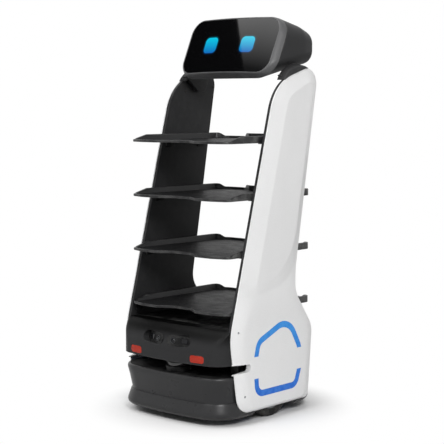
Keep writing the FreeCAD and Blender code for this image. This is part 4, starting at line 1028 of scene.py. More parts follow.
recess = (Matrix.Translation((0.046, -0.221, 0.221)) @ Matrix.Rotation(math.radians(18), 4, "Z")
          @ Matrix.Rotation(math.radians(76), 4, "X"))
rows = cover(0.231, 0.165, 0.900, True)[:-2]
count, columns = rows.shape[:2]
for hand in (1, -1):
    solid = mesh_piece("cover_volume", rows.reshape(-1, 3),
                       grid_faces(count, columns, True) + [tuple(range(columns)),
                       tuple(range((count - 1) * columns, count * columns))])
    face_out(solid)
    solid.data.transform(Matrix.Translation((0, 0.0004, 0)))
    cup = pill("recess_cup", 0.086, 0.038, [(0, -0.012), (0, 0.020)], recess, hand)
    carve(cup, solid, "INTERSECT")
    carve(front_cover, cup, "UNION")
for hand in (1, -1):
    dish = pill("recess_dish", 0.078, 0.030, [(-0.0012, -0.007), (-0.0002, -0.006), (0, -0.005),
                                              (0.0006, 0.001), (0.0006, 0.02)], recess, hand)
    carve(front_cover, dish)
    carve(front_cover, pill("recess_hole", 0.060, 0.020, [(0, -0.020), (0, 0.001)], recess, hand))
    corners = [(0.0895, 0.170, 0.007), (0.1345, 0.170, 0.007), (0.1345, 0.190, 0.007),
               (0.0895, 0.190, 0.007)]
    opening = grown(loop(corners, 10, 3), 0.0001)
    size = len(opening)
    vertices = [(hand * x, y, z) for y in (-0.245, -0.195) for x, z in opening]
    faces = [tuple(range(size)), tuple(range(size, 2 * size))]
    faces += [(i, (i + 1) % size, size + (i + 1) % size, size + i) for i in range(size)]
    cutter = mesh_piece("lamp_opening", vertices, faces)
    face_out(cutter)
    carve(front_cover, cutter)
smooth(front_cover, 22)
# the front cover's material, with a painted shadow on the top of its roll
cover_painted_shadow = finish("cover_moulding", charcoal_tone, 0.42, specular=0.12, grain=1300.0,
                    smudge=0.07, wear=0.06, dust=0.0, depth=0.00006)
shade = cover_painted_shadow.node_tree
spot = add(shade, "SeparateXYZ")
feed(shade, spot.inputs[0], add(shade, "TexCoord").outputs["Object"])
# painted shadow: the roll under the lowest tray is blended towards black by height and depth,
# standing in for the tray's shadow
deep = spread(shade, spot.outputs["Z"], 0.208, 0.246, 0.0, 1.0, True)
deep = maths(shade, "MULTIPLY", deep, spread(shade, spot.outputs["Y"], -0.226, -0.212))
skin = next(node for node in shade.nodes if node.type == "GROUP")
feed(shade, shade.nodes["Principled BSDF"].inputs["Base Color"], blended(
    shade, deep, skin.outputs["Colour"], (0.0012, 0.0012, 0.0012, 1.0)))
place_on(front_cover, cover_painted_shadow, "chassis", "body_charcoal", "front_cover")

# ---------------------------------------------------------------- depth cameras
# A stereo camera module in each recess: a matt black face plate with one round lens in a
# stepped ring and a dark window for the infrared pair, over a small die-cast body.
camera_black = finish("camera_face_plate", tone_of(14, 14, 15), 0.5, specular=0.12,
                      grain=1900.0, smudge=0.08, wear=0.1, dust=0.0)
lens_glass = finish("coated_lens", tone_of(8, 9, 13), 0.08, specular=0.3, grain=600.0,
                    smudge=0.03, wear=0.0, dust=0.0, depth=0.000002)
lens_ring = finish("lens_ring_metal", tone_of(58, 59, 61), 0.4, metallic=0.7, group=metal,
                   stain=0.1, depth=0.00001)
for side, hand in (("right", 1), ("left", -1)):
    plate = pill("camera_plate_" + side, 0.0774, 0.0294,
                 [(0, -0.0070), (0, -0.0054), (-0.0004, -0.0050)], recess, hand)
    body = pill("camera_body", 0.0594, 0.0194, [(-0.0006, -0.0229), (0, -0.0223), (0, -0.0065)],
                recess, hand)
    carve(plate, body, "UNION")
    pocket = loop([(0.006, -0.0065, 0.002), (0.024, -0.0065, 0.002), (0.024, 0.0065, 0.002),
                   (0.006, 0.0065, 0.002)], 6, 2)
    size = len(pocket)

    def block(name, levels):
        vertices = []
        for grow, out in levels:
            for u, v in grown(pocket, grow):
                p = recess @ Vector((u, v, out))
                vertices.append((hand * p.x, p.y, p.z))
        faces = grid_faces(len(levels), size, True)
        faces += [tuple(range(size)), tuple(range((len(levels) - 1) * size, len(levels) * size))]
        piece = mesh_piece(name, vertices, faces)
        face_out(piece)
        return piece

    carve(plate, block("window_pocket", [(0.0003, -0.0062), (0.0003, -0.004)]))
    smooth(plate, 30)
    place_on(plate, camera_black, "chassis", "camera_black", "depth_camera_" + side)
    pane = block("camera_window_" + side, [(0, -0.0062), (0, -0.0038), (-0.0004, -0.0034)])
    smooth(pane, 30)
    place_on(pane, lens_glass, "chassis", "camera_black")
    spot = recess @ Vector((-0.019, 0, -0.0051))
    out = (recess.to_3x3() @ Vector((0, 0, 1))).normalized()
    spot, out = Vector((hand * spot.x, spot.y, spot.z)), Vector((hand * out.x, out.y, out.z))
    ring = lathe("lens_ring_" + side, [(0.0056, 0.0), (0.0080, 0.0), (0.0080, 0.0026),
                                       (0.0076, 0.0032), (0.0070, 0.0032), (0.0066, 0.0024),
                                       (0.0060, 0.0022), (0.0056, 0.0012)], spot, out, 48)
    smooth(ring, 30)
    place_on(ring, lens_ring, "chassis", "camera_black")
    lens = lathe("lens_" + side, [(0.0001, -0.0010), (0.0062, -0.0010), (0.0062, 0.0006),
                                  (0.0054, 0.0012), (0.0036, 0.0020), (0.0018, 0.0024),
                                  (0.0001, 0.0025)], spot, out, 48)
    smooth(lens, 50)
    place_on(lens, lens_glass, "chassis", "camera_black")

# ---------------------------------------------------------------- lamps
# Red acrylic lenses set flush in the front cover. Their backs are ribbed, so upright bars
# show through the smooth face, and a row of diodes behind lights them a little.
lamp_red = finish("red_acrylic", tone_of(160, 46, 32), 0.26, specular=0.15, grain=500.0,
                  smudge=0.04, wear=0.0, dust=0.0, depth=0.00001)
bars = lamp_red.node_tree
spot = add(bars, "SeparateXYZ")
feed(bars, spot.inputs[0], add(bars, "TexCoord").outputs["Object"])
rib = maths(bars, "PINGPONG", spot.outputs["X"], 0.0011)
rib = spread(bars, rib, 0.0001, 0.0010, 0.0, 1.0, True)
shade = blended(bars, rib, tone_of(128, 30, 24), tone_of(186, 58, 40))
feed(bars, bars.nodes["Principled BSDF"].inputs["Base Color"], shade)
feed(bars, bars.nodes["Principled BSDF"].inputs["Emission Color"], shade)
bars.nodes["Principled BSDF"].inputs["Emission Strength"].default_value = 0.05
for side in ("left", "right"):
    lamp = refined("lamp_" + side, "lamp_lens_" + side, 0.0010, 3)
    place_on(lamp, lamp_red, "chassis", "lamp_red", "lamp_" + side)


# ---------------------------------------------------------------- side shells
# White ABS covers outside the columns: a leaning blade with a flat raised panel that flows
# into a domed foot, with a slot let in from the front and a channel for the light guide.
# They clip to the side plates, with two countersunk screws at the front of the foot.
def part_of(outline, first, last):
    """The stretch of an outline from one index forward to another."""
    return outline[first:last + 1] if last > first else np.concatenate((outline[first:],
                                                                        outline[:last + 1]))


def spaced(line, shares):
    """Points along a line at given shares of its length."""
    steps = np.concatenate(((0,), np.cumsum(np.linalg.norm(np.diff(line, axis=0), axis=1))))
    at = np.asarray(shares) * steps[-1]
    return np.stack([np.interp(at, steps, line[:, axis]) for axis in (0, 1)], axis=1)


def patch(low, high, left, right, across, up):
    """A grid of points between four edges that meet at their ends."""
    low, high = spaced(low, across), spaced(high, across)
    left, right = spaced(left, up), spaced(right, up)
    s = np.asarray(across)[None, :, None]
    t = np.asarray(up)[:, None, None]
    grid = (1 - t) * low[None] + t * high[None] + (1 - s) * left[:, None] + s * right[:, None]
    grid = grid - (1 - s) * (1 - t) * low[0] - s * (1 - t) * low[-1]
    return grid - (1 - s) * t * high[0] - s * t * high[-1]


def depth_inside(points, outline):
    """How far inside an outline each point lies; outside is negative."""
    flat = points.reshape(-1, 2)
    a, b = outline, np.roll(outline, -1, axis=0)
    side = b - a
    length = np.maximum((side ** 2).sum(1), 1e-12)
    result = np.empty(len(flat))
    for start in range(0, len(flat), 2000):
        p = flat[start:start + 2000, None]
        along = np.clip(((p - a) * side).sum(2) / length, 0, 1)
        gap = np.sqrt((((a + along[..., None] * side) - p) ** 2).sum(2)).min(1)
        above = (a[:, 1] > p[..., 1]) != (b[:, 1] > p[..., 1])
        rise = np.where(np.abs(side[:, 1]) < 1e-12, 1e-12, side[:, 1])
        crossing = above & (p[..., 0] < a[:, 0] + (p[..., 1] - a[:, 1]) * side[:, 0] / rise)
        result[start:start + 2000] = np.where(crossing.sum(1) % 2 == 1, gap, -gap)
    return result.reshape(points.shape[:-1])


def soft_max(a, b, width):
    blend = np.clip(0.5 + 0.5 * (a - b) / width, 0, 1)
    return b + (a - b) * blend + width * blend * (1 - blend)


blade_outline = loop([(-0.169, 0.285, 0.020), (0.068, 0.285, 0.100), (0.188, 0.962, 0.042),
                      (0.0, 0.904, 0.130)], 16, 20)
panel_outline = loop([(-0.093, 0.358, 0.012), (0.056, 0.406, 0.180), (0.153, 0.916, 0.016),
                      (0.042, 0.868, 0.060)], 16, 20)
foot_outline = loop([(-0.150, 0.031, 0.050), (0.147, 0.031, 0.014), (0.171, 0.232, 0.060),
                     (0.086, 0.415, 0.020), (-0.132, 0.415, 0.020), (-0.183, 0.235, 0.160)],
                    16, 16)
dome_outline = loop([(-0.112, 0.042, 0.035), (0.113, 0.042, 0.012), (0.124, 0.224, 0.050),
                     (0.054, 0.305, 0.030), (-0.112, 0.305, 0.030), (-0.138, 0.232, 0.100)],
                    16, 16)


def slope_share(points, base, crest):
    """0 on the base outline, 1 inside the crest outline, straight in between."""
    rise = np.maximum(depth_inside(points, base), 0)
    fall = np.maximum(-depth_inside(points, crest), 0)
    return rise / np.maximum(rise + fall, 1e-9)


def shell_surface(points):
    """How far the shell's skin stands from the robot's middle plane."""
    blade = 0.1940 + 0.0129 * slope_share(points, blade_outline, panel_outline)
    dome = slope_share(points, foot_outline, dome_outline)
    foot = 0.1940 + 0.0126 * (1 - (1 - dome) ** 1.6)
    return np.minimum(soft_max(blade, foot, 0.0014), 0.2068)


def middle_of(corner):
    return corner * 44 + 10


order = np.arange(len(column_outline))
across = np.linspace(0, 1, 72)
up = np.linspace(0, 1, 290)
grid = patch(part_of(column_outline, middle_of(0), middle_of(1)),
             part_of(column_outline, middle_of(4), middle_of(5))[::-1],
             part_of(column_outline, middle_of(5), middle_of(0))[::-1],
             part_of(column_outline, middle_of(1), middle_of(4)), across, up)
rows, columns = grid.shape[:2]
inside = patch(*[grown(column_outline, -0.0026)[line] for line in (
    part_of(order, middle_of(0), middle_of(1)), part_of(order, middle_of(4), middle_of(5))[::-1],
    part_of(order, middle_of(5), middle_of(0))[::-1],
    part_of(order, middle_of(1), middle_of(4)))], across, up)
outer_skin = np.dstack((shell_surface(grid), grid)).reshape(-1, 3)
inner_skin = np.dstack((shell_surface(inside) - 0.0026, inside)).reshape(-1, 3)
size = rows * columns
rim = list(range(columns)) + [row * columns + columns - 1 for row in range(1, rows)]
rim += [size - 2 - i for i in range(columns - 1)]
rim += [row * columns for row in range(rows - 2, 0, -1)]
foot_out = [(0.1912, *outer_skin[i][1:]) for i in rim]
foot_in = [(0.1912, *inner_skin[i][1:]) for i in rim]
vertices = list(outer_skin) + list(inner_skin) + foot_out + foot_in
faces = grid_faces(rows, columns)
faces += [tuple(size + i for i in reversed(face)) for face in faces]
count = len(rim)
for n, i in enumerate(rim):
    m, j = (n + 1) % count, rim[(n + 1) % count]
    faces += [(j, i, 2 * size + n, 2 * size + m),
              (2 * size + m, 2 * size + n, 2 * size + count + n, 2 * size + count + m),
              (2 * size + count + m, 2 * size + count + n, size + i, size + j)]
shell = mesh_piece("shell_cover_right", vertices, faces)
face_out(shell)
rounding = shell.modifiers.new("edge", "BEVEL")
rounding.width = 0.0010
rounding.segments = 3
rounding.limit_method = "ANGLE"
rounding.angle_limit = math.radians(50)
apply_all(shell)

slot_outline = loop([(-0.260, 0.137, 0.002), (-0.115, 0.145, 0.009), (-0.115, 0.165, 0.009),
                     (-0.260, 0.167, 0.002)], 10, 8)
carve(shell, slab("slot_space", slot_outline, 0.180, 0.220))

# the return wall inside the slot, which hides the hollow of the shell
outer = grown(slot_outline, 0.0026)
inner = grown(slot_outline, 0.00005)
keep = [i for i in range(len(slot_outline)) if slot_outline[i, 0] > -0.1785]
start = next(i for n, i in enumerate(keep) if keep[n - 1] != i - 1)
run = [(start + n) % len(slot_outline) for n in range(len(keep))]
top = shell_surface(np.stack((np.clip(inner[run][:, 0], -0.176, 0), inner[run][:, 1]), 1))
vertices, size = [], len(run)
for line, depth in ((inner[run], np.full(size, 0.1912)), (inner[run], top - 0.0006),
                    (outer[run], top - 0.0018), (outer[run], np.full(size, 0.1912))):
    vertices += [(x, y, z) for (y, z), x in zip(line, depth)]
faces = grid_faces(4, size)
faces += [(3 * size + i, 3 * size + i + 1, i + 1, i) for i in range(size - 1)]
faces += [(0, size, 2 * size, 3 * size), (size - 1, 2 * size - 1, 3 * size - 1, 4 * size - 1)]
slot_wall = mesh_piece("slot_return_right", vertices, faces)
face_out(slot_wall)

ring_corners = [(-0.104, 0.168, 0.040), (-0.096, 0.070, 0.034), (0.082, 0.070, 0.034),
                (0.103, 0.130, 0.060), (0.100, 0.186, 0.060), (0.046, 0.278, 0.065),
                (-0.090, 0.224, 0.040)]
ring_outline = loop(ring_corners, 20, 24)


def light_band(name, grow, low_x, proud):
    """The light guide's two segments, as wide as the channel or a hair less."""
    shares = (0, 0.25, 0.5, 0.75, 1)
    lines = [grown(ring_outline, grow - share * (0.0172 + 2 * grow)) for share in shares]
    count = len(ring_outline)
    tops = [0.2085 if proud is None else shell_surface(line) + proud for line in lines]
    vertices = []
    for line, top in zip(lines, tops):
        level = np.full(count, top) if np.isscalar(top) else top
        vertices += [(x, y, z) for (y, z), x in zip(line, level)]
    vertices += [(low_x, y, z) for y, z in lines[-1]] + [(low_x, y, z) for y, z in lines[0]]
    faces = grid_faces(7, count, True)
    last = 6 * count
    faces += [(last + i, last + (i + 1) % count, (i + 1) % count, i) for i in range(count)]
    band = mesh_piece(name, vertices, faces)
    face_out(band)
    gap = [(-0.2, 0.121 + grow), (0.2, 0.121 + grow), (0.2, 0.180 - grow), (-0.2, 0.180 - grow)]
    carve(band, slab("ring_gap", gap, 0.19, 0.22))
    return band


carve(shell, light_band("ring_channel", 0.00012, 0.2018, None))
ring = light_band("light_guide_right", 0.0, 0.2022, 0.00002)
round_edges(ring, 0.0003, 2, 40)

for y, z in ((-0.158, 0.252), (-0.134, 0.078)):
    skin = float(shell_surface(np.array([[y, z]]))[0])
    deselect()
    bpy.ops.mesh.primitive_cylinder_add(vertices=32, radius=0.0032, depth=0.006,
                                        location=(skin + 0.0018, y, z),
                                        rotation=(0, math.pi / 2, 0))
    well = bpy.context.object
    bpy.ops.object.transform_apply(location=True, rotation=True, scale=True)
    carve(shell, well)

white_shell = finish("white_moulding", tone_of(230, 230, 230), 0.32, specular=0.4,
                     grain=700.0, smudge=0.025, wear=0.0, dust=0.06, depth=0.00002)
white_shell.node_tree.nodes["Principled BSDF"].inputs["Coat Weight"].default_value = 0.15
guide = finish("light_guide", tone_of(40, 110, 200), 0.3, specular=0.12, grain=600.0,
               smudge=0.02, wear=0.0, dust=0.0, depth=0.00001)
lit = guide.node_tree
spot = add(lit, "SeparateXYZ")
feed(lit, spot.inputs[0], add(lit, "TexCoord").outputs["Object"])
level = spread(lit, spot.outputs["Z"], 0.07, 0.275)
beads = clouds(lit, add(lit, "TexCoord").outputs["Object"], 90.0, 1.0)
hue = blended(lit, level, tone_of(36, 96, 192), tone_of(54, 138, 212))
hue = blended(lit, spread(lit, beads, 0.35, 0.65, 0.0, 0.12), hue, tone_of(120, 190, 240))
feed(lit, lit.nodes["Principled BSDF"].inputs["Emission Color"], hue)
feed(lit, lit.nodes["Principled BSDF"].inputs["Base Color"], blended(
    lit, 0.8, hue, (0, 0, 0, 1)))
lit.nodes["Principled BSDF"].inputs["Emission Strength"].default_value = 0.8
work_on(shell)
bpy.ops.object.mode_set(mode="EDIT")
bpy.ops.mesh.select_all(action="SELECT")
bpy.ops.mesh.remove_doubles(threshold=0.000002)
bpy.ops.mesh.fill_holes(sides=8)
bpy.ops.object.mode_set(mode="OBJECT")
smooth(shell, 24)
smooth(slot_wall, 24)
for side in ("right", "left"):
    cover_part = shell if side == "right" else mirrored(shell, "shell_cover_left")
    place_on(cover_part, white_shell, "chassis", "white_cover", "side_shell_" + side)
    lining = slot_wall if side == "right" else mirrored(slot_wall, "slot_return_left")
    place_on(lining, white_shell, "chassis", "white_cover")
    band = ring if side == "right" else mirrored(ring, "light_guide_left")
    place_on(band, guide, "chassis", "light_blue", "light_ring_" + side)
    hand = 1 if side == "right" else -1
    for number, (y, z) in enumerate(((-0.158, 0.252), (-0.134, 0.078)), start=1):
        skin = float(shell_surface(np.array([[y, z]]))[0])
        screw = cap_screw("shell_screw_%s_%d" % (side, number), (hand * (skin - 0.0014), y, z),
                          (hand, 0, 0), 0.0028)
        place_on(screw, zinc, "chassis", "steel")
for number, (x, y, z) in enumerate(((-0.182, 0.0514, 0.8828), (-0.182, 0.169, 0.895),
                                    (0.182, 0.0514, 0.8828), (0.182, 0.169, 0.895)), start=1):
    hand = -1 if x > 0 else 1
    screw = cap_screw("plate_screw_%d" % number, (x + hand * 0.0001, y, z), (hand, 0, 0), 0.0036)
    place_on(screw, screw_black, "chassis", "steel")

# ---------------------------------------------------------------- head housing
# The rear half of the head: a deep ABS tub, 3 mm thick, that tapers to a rounded back with
# the emergency stop in its middle. It snaps on to the bezel with a fine seam.
head_grey = finish("head_grey_moulding", tone_of(38, 38, 39), 0.46, specular=0.2,
                   grain=1300.0, smudge=0.07, wear=0.12, dust=0.0, depth=0.00006)
lean = math.radians(24.1)


def on_face(x, v, n):
    """A point across, up and out of the leaning face, from the middle of the face."""
    return (x, 0.0378 + v * math.sin(lean) - n * math.cos(lean),
            1.0058 + v * math.cos(lean) + n * math.sin(lean))


def oblong(half, low, high, radius):
    return loop([(-half, low, radius), (half, low, radius), (half, high, radius),
                 (-half, high, radius)], 24, 16)


def head_sections(inset):
    rings = [np.array([on_face(u, v, -0.0163 + inset) for u, v in
                       oblong(0.175 - inset, -0.09035 + inset, 0.09035 - inset, 0.058 - inset)])]
    for y, half, low, high, radius in ((0.150, 0.176, -0.054, 0.057, 0.040),
                                       (0.188, 0.172, -0.047, 0.043, 0.036),
                                       (0.205, 0.152, -0.033, 0.027, 0.027)):
        outline = oblong(half - inset, low + inset, high - inset, radius - inset)
        rings.append(np.array([(u, y - inset, 1.0056 + v) for u, v in outline]))
    steps = (12, 6, 5)
    rows = []
    for first, second, count in zip(rings, rings[1:], steps):
        rows += [first + (second - first) * step / count for step in range(count)]
    rows.append(rings[-1])
    rows = np.array(rows)
    soft = rows.copy()
    for _ in range(1):
        soft[2:-1] = soft[2:-1] * 0.5 + (soft[1:-2] + soft[3:]) * 0.25
    return soft


outer_rows = head_sections(0.0)
inner_rows = head_sections(0.003)
middle = np.array((0, 0.205, 1.0026))
closing = [middle + (outer_rows[-1] - middle) * share for share in (0.985, 0.94, 0.85, 0.5, 0.16)]
closing_in = [middle - np.array((0, 0.003, 0)) + (inner_rows[-1] - middle
              + np.array((0, 0.003, 0))) * share for share in (0.16, 0.5, 0.85, 0.97)]
for share, line in zip((0.985, 0.94, 0.85, 0.5, 0.16), closing):
    line[:, 1] = 0.205 - (0.0004 if share > 0.98 else 0.0)
outer_rows[-1][:, 1] = 0.2036
levels = list(outer_rows) + closing + closing_in + list(inner_rows[::-1])
levels = np.array(levels)
count, columns = levels.shape[:2]
faces = grid_faces(count, columns, True)
last = (count - 1) * columns
faces += [(last + i, last + (i + 1) % columns, (i + 1) % columns, i) for i in range(columns)]
housing = mesh_piece("head_housing", levels.reshape(-1, 3), faces)
face_out(housing)
smooth(housing, 28)
place_on(housing, head_grey, "chassis", "head_grey", "head_shell")

# ---------------------------------------------------------------- head brackets
# Die-cast brackets painted dark grey, bolted under the head: a rounded saddle over the top
# edge of each side plate, and a tongue screwed to the plate's inner face.
rows = head_sections(-0.0003)
count, columns = rows.shape[:2]
crown = column_outline[(column_outline[:, 1] > 0.85) & (column_outline[:, 0] > 0.036)
                       & (column_outline[:, 0] < 0.142)]
crown = spaced(crown[np.argsort(crown[:, 0])], np.linspace(0, 1, 33))
along = np.gradient(crown, axis=0)
along = along / np.linalg.norm(along, axis=1)[:, None]
rise = np.stack((-along[:, 1], along[:, 0]), 1)
for side, hand in (("right", 1), ("left", -1)):
    vertices = []
    for share, point, up in zip(np.linspace(0, 1, 33), crown, rise):
        thick = 0.0006 + 0.0170 * math.sin(math.pi * min(max(share, 0.004), 0.996)) ** 0.7
        for turn in np.linspace(0, math.pi, 15):
            wide = abs(math.cos(turn)) ** 0.45 * (1 if math.cos(turn) > 0 else -1)
            y, z = point + up * (0.0004 + thick * (1.15 - 0.25 * wide)
                                 * max(math.sin(turn), 0) ** 0.45)
            vertices.append((hand * (0.1816 + 0.0140 * wide), y, z))
    saddle = mesh_piece("head_bracket_casting_" + side, vertices, grid_faces(33, 15, True)
                        + [tuple(range(15)), tuple(range(32 * 15, 33 * 15))])
    face_out(saddle)
    tongue = slab("tongue", loop([(0.036, 0.925, 0.002), (0.060, 0.908, 0.010),
                                  (0.090, 0.882, 0.020), (0.122, 0.882, 0.020),
                                  (0.146, 0.950, 0.003)], 10, 6),
                  min(hand * 0.1677, hand * 0.1818), max(hand * 0.1677, hand * 0.1818))
    rounding = tongue.modifiers.new("edge", "BEVEL")
    rounding.width = 0.0030
    rounding.segments = 4
    rounding.limit_method = "ANGLE"
    rounding.angle_limit = math.radians(60)
    apply_all(tongue)
    carve(saddle, tongue, "UNION")
    head_space = mesh_piece("head_space", rows.reshape(-1, 3), grid_faces(count, columns, True)
                            + [tuple(range(columns)),
                               tuple(range((count - 1) * columns, count * columns))])
    face_out(head_space)
    carve(saddle, head_space)
    smooth(saddle, 30)
    place_on(saddle, head_grey, "chassis", "dark_panel", "head_bracket_" + side)

# ---------------------------------------------------------------- bezel
# A frame of satin grey ABS round the glass. It stands a hair proud of the glass, follows
# its bow, and flares back to the housing. The glass is bonded into its rebate.
bezel_grey = finish("bezel_moulding", tone_of(78, 78, 79), 0.38, specular=0.32, grain=1300.0,
                    smudge=0.05, wear=0.14, dust=0.0, depth=0.00005)


def bowed(x, lift=0.0):
    return -math.sqrt(1.3 ** 2 - 0.155 ** 2) + np.sqrt((1.3 + lift) ** 2 - np.minimum(
        np.abs(x), 0.165) ** 2)


def frame_line(grow_side, grow_up, radius, out, follow):
    outline = oblong(0.158 + grow_side, -0.08085 - grow_up, 0.08085 + grow_up, radius)
    return [on_face(u, v, out + follow * float(bowed(u))) for u, v in outline]


levels = [frame_line(-0.007, -0.007, 0.031, -0.0140, 0), frame_line(-0.007, -0.007, 0.031,
                                                                  -0.0034, 1),
          frame_line(-0.0068, -0.0068, 0.0312, -0.0031, 1),
          frame_line(0.0001, 0.0001, 0.0381, -0.0031, 1),
          frame_line(0.0001, 0.0001, 0.0381, 0.0001, 1),
          frame_line(0.0004, 0.0004, 0.0384, 0.0004, 1),
          frame_line(0.0014, 0.0014, 0.0393, 0.0004, 1),
          frame_line(0.0022, 0.0021, 0.0402, 0.0001, 1)]
for share in (0.06, 0.16, 0.30, 0.46, 0.62, 0.78, 0.90, 0.97):
    side = 0.0022 + (0.017 - 0.0022) * share ** 0.8
    edge = 0.0021 + (0.0095 - 0.0021) * share ** 0.8
    follow = (1 - share) ** 1.5
    levels.append(frame_line(side, edge, 0.0402 + 0.0178 * share, -0.0158 * share ** 1.15, follow))
levels += [frame_line(0.0170, 0.0095, 0.058, -0.0156, 0), frame_line(0.0168, 0.0093, 0.0578,
                                                                    -0.0160, 0),
           frame_line(0.0140, 0.0070, 0.0550, -0.0160, 0),
           frame_line(-0.0060, -0.0060, 0.0320, -0.0150, 0)]
levels = np.array(levels)
count, columns = levels.shape[:2]
faces = grid_faces(count, columns, True)
last = (count - 1) * columns
faces += [(last + i, last + (i + 1) % columns, (i + 1) % columns, i) for i in range(columns)]
bezel = mesh_piece("face_bezel", levels.reshape(-1, 3), faces)
face_out(bezel)
smooth(bezel, 30)
place_on(bezel, bezel_grey, "chassis", "bezel", "head_bezel")

# ---------------------------------------------------------------- face glass
# Bowed 3 mm cover glass, printed black behind, with ground edges. The display lights two
# soft-cornered eyes through it, brighter at the top.
levels = []
for share in (0.02, 0.2, 0.4, 0.6, 0.8, 0.93):
    levels.append([on_face(u * share, v * share, float(bowed(u * share)) - 0.0029)
                   for u, v in oblong(0.158, -0.08085, 0.08085, 0.038)])
levels.append(frame_line(-0.0004, -0.0004, 0.0376, -0.0029, 1))
levels.append(frame_line(0, 0, 0.038, -0.0025, 1))
levels.append(frame_line(0, 0, 0.038, -0.0007, 1))
levels.append(frame_line(-0.0002, -0.0002, 0.0378, -0.0002, 1))
levels.append(frame_line(-0.0006, -0.0006, 0.0374, 0, 1))
for share in (0.985, 0.95, 0.9, 0.82, 0.73, 0.64, 0.55, 0.46, 0.37, 0.28, 0.19, 0.10, 0.02):
    levels.append([on_face(u * share, v * share, float(bowed(u * share)))
                   for u, v in oblong(0.158, -0.08085, 0.08085, 0.038)])
levels = np.array(levels)
count, columns = levels.shape[:2]
faces = grid_faces(count, columns, True)
faces += [tuple(range(columns)), tuple(range((count - 1) * columns, count * columns))]
glass = mesh_piece("face_glass", levels.reshape(-1, 3), faces)
face_out(glass)
smooth(glass, 30)
screen = finish("printed_glass", tone_of(8, 8, 9), 0.045, specular=0.5, grain=300.0,
                smudge=0.01, wear=0.0, dust=0.0, depth=0.000001)
eyes = screen.node_tree
spot = add(eyes, "SeparateXYZ")
feed(eyes, spot.inputs[0], add(eyes, "TexCoord").outputs["Object"])
rise = maths(eyes, "MULTIPLY", maths(eyes, "SUBTRACT", spot.outputs["Y"], 0.0432), math.sin(lean))
rise = maths(eyes, "ADD", rise, maths(eyes, "MULTIPLY", maths(
    eyes, "SUBTRACT", spot.outputs["Z"], 1.0056), math.cos(lean)))
rise = maths(eyes, "ADD", rise, 0.0005)
side = maths(eyes, "SUBTRACT", maths(eyes, "ABSOLUTE", spot.outputs["X"]), 0.0665)
far_x = maths(eyes, "MAXIMUM", maths(eyes, "SUBTRACT", maths(eyes, "ABSOLUTE", side), 0.0105), 0.0)
far_y = maths(eyes, "MAXIMUM", maths(eyes, "SUBTRACT", maths(eyes, "ABSOLUTE", rise), 0.0110), 0.0)
away = maths(eyes, "SQRT", maths(eyes, "ADD", maths(eyes, "POWER", far_x, 2.0),
                                 maths(eyes, "POWER", far_y, 2.0)))
inside = spread(eyes, away, 0.0124, 0.0130, 1.0, 0.0, True)
halo = spread(eyes, away, 0.0125, 0.0190, 0.10, 0.0, True)
colour = blended(eyes, spread(eyes, rise, -0.023, 0.023), tone_of(15, 105, 190),
                 tone_of(8, 205, 235))
colour = blended(eyes, maths(eyes, "MAXIMUM", inside, halo), (0, 0, 0, 1), colour)
feed(eyes, eyes.nodes["Principled BSDF"].inputs["Emission Color"], colour)
eyes.nodes["Principled BSDF"].inputs["Emission Strength"].default_value = 0.95
place_on(glass, screen, "chassis", "screen", "screen_glass")

# ---------------------------------------------------------------- display and head board
# Inside the head: a 13 inch display module with a steel back tray, and the green computer
# board screwed behind it. Both are bought parts.
tray_steel = finish("display_back_steel", tone_of(96, 98, 102), 0.4, metallic=0.8, group=metal,
                    stain=0.2, depth=0.00001)
display = refined("display_panel", "display_module", 0.0012, 3)
place_on(display, tray_steel, "chassis", "black_trim", "display_panel")
solder_mask = finish("solder_mask", tone_of(28, 74, 50), 0.35, specular=0.5, grain=500.0,
                     smudge=0.2, wear=0.0, dust=0.1)
board = refined("head_board", "computer_board", 0.0008, 2)
place_on(board, solder_mask, "chassis", "board", "head_board")

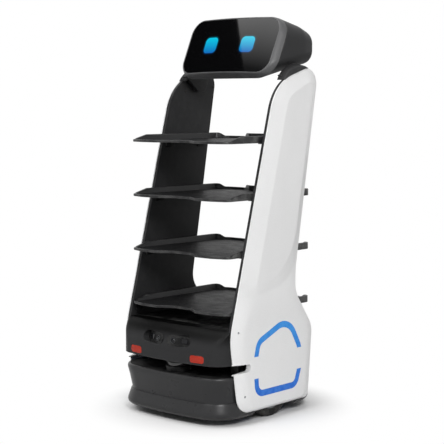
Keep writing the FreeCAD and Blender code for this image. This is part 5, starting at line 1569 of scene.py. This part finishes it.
# ---------------------------------------------------------------- emergency stop
# A 30 mm mushroom button on a yellow collar at the back of the head. The red cap is glossy
# nylon with a dished face; the collar is turned and screws in from behind.
stop_red = finish("stop_red", tone_of(188, 30, 26), 0.3, specular=0.5, grain=900.0,
                  smudge=0.06, wear=0.1, dust=0.0, depth=0.00003)
stop_yellow = finish("stop_yellow", tone_of(226, 182, 30), 0.42, specular=0.45, grain=1100.0,
                     smudge=0.06, wear=0.15, dust=0.0)
low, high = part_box("stop_button")
middle_z = (low[2] + high[2]) / 2
cap = lathe("stop_cap", [(0.0002, 0.0), (0.0059, 0.0), (0.0059, 0.0183), (0.0132, 0.0183),
                         (0.0145, 0.0190), (0.0150, 0.0204), (0.0149, 0.0236),
                         (0.0141, 0.0258), (0.0126, 0.0269), (0.0104, 0.0274),
                         (0.0070, 0.0271), (0.0002, 0.0268)],
            (0, low[1], middle_z), (0, 1, 0), 96)
smooth(cap, 30)
place_on(cap, stop_red, "emergency_stop", "stop_red", "stop_button")
low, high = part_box("stop_collar")
collar = lathe("stop_collar_ring", [(0.00606, 0.0), (0.0146, 0.0), (0.0148, 0.0160),
                                    (0.0190, 0.0161), (0.0199, 0.0168), (0.0200, 0.0184),
                                    (0.0194, 0.0196), (0.0182, 0.0200), (0.0150, 0.0199),
                                    (0.0138, 0.0192), (0.00606, 0.0190)],
               (0, low[1], middle_z), (0, 1, 0), 96)
smooth(collar, 30)
place_on(collar, stop_yellow, "chassis", "stop_yellow", "stop_collar")

# ---------------------------------------------------------------- power switch
# A flush steel push switch low on the rear cover, with a bevelled ring nut and a concave
# cap that is brushed across.
switch_steel = finish("brushed_switch", tone_of(176, 178, 180), 0.28, metallic=1.0, group=metal,
                      stain=0.1, depth=0.00001)
low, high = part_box("power_ring")
middle_z = (low[2] + high[2]) / 2
nut = lathe("power_ring_nut", [(0.0081, 0.0042), (0.0106, 0.0), (0.0108, 0.0119),
                               (0.0128, 0.0120), (0.0130, 0.0126), (0.0122, 0.0138),
                               (0.0092, 0.0139), (0.0084, 0.0134), (0.0081, 0.0124)],
            (0, low[1], middle_z), (0, 1, 0), 72)
smooth(nut, 30)
place_on(nut, switch_steel, "chassis", "aluminium", "power_ring")
low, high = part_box("power_button")
deep = high[1] - low[1]
button = lathe("power_push_cap", [(0.0002, 0.0), (0.0078, 0.0), (0.00795, 0.0004),
                                  (0.00795, deep - 0.0008), (0.0074, deep - 0.0002),
                                  (0.0062, deep - 0.0003), (0.0030, deep - 0.0009),
                                  (0.0002, deep - 0.0010)],
               (0, low[1], middle_z), (0, 1, 0), 72)
smooth(button, 30)
place_on(button, switch_steel, "power_switch", "steel", "power_button")

# ---------------------------------------------------------------- clear the selection
deselect()
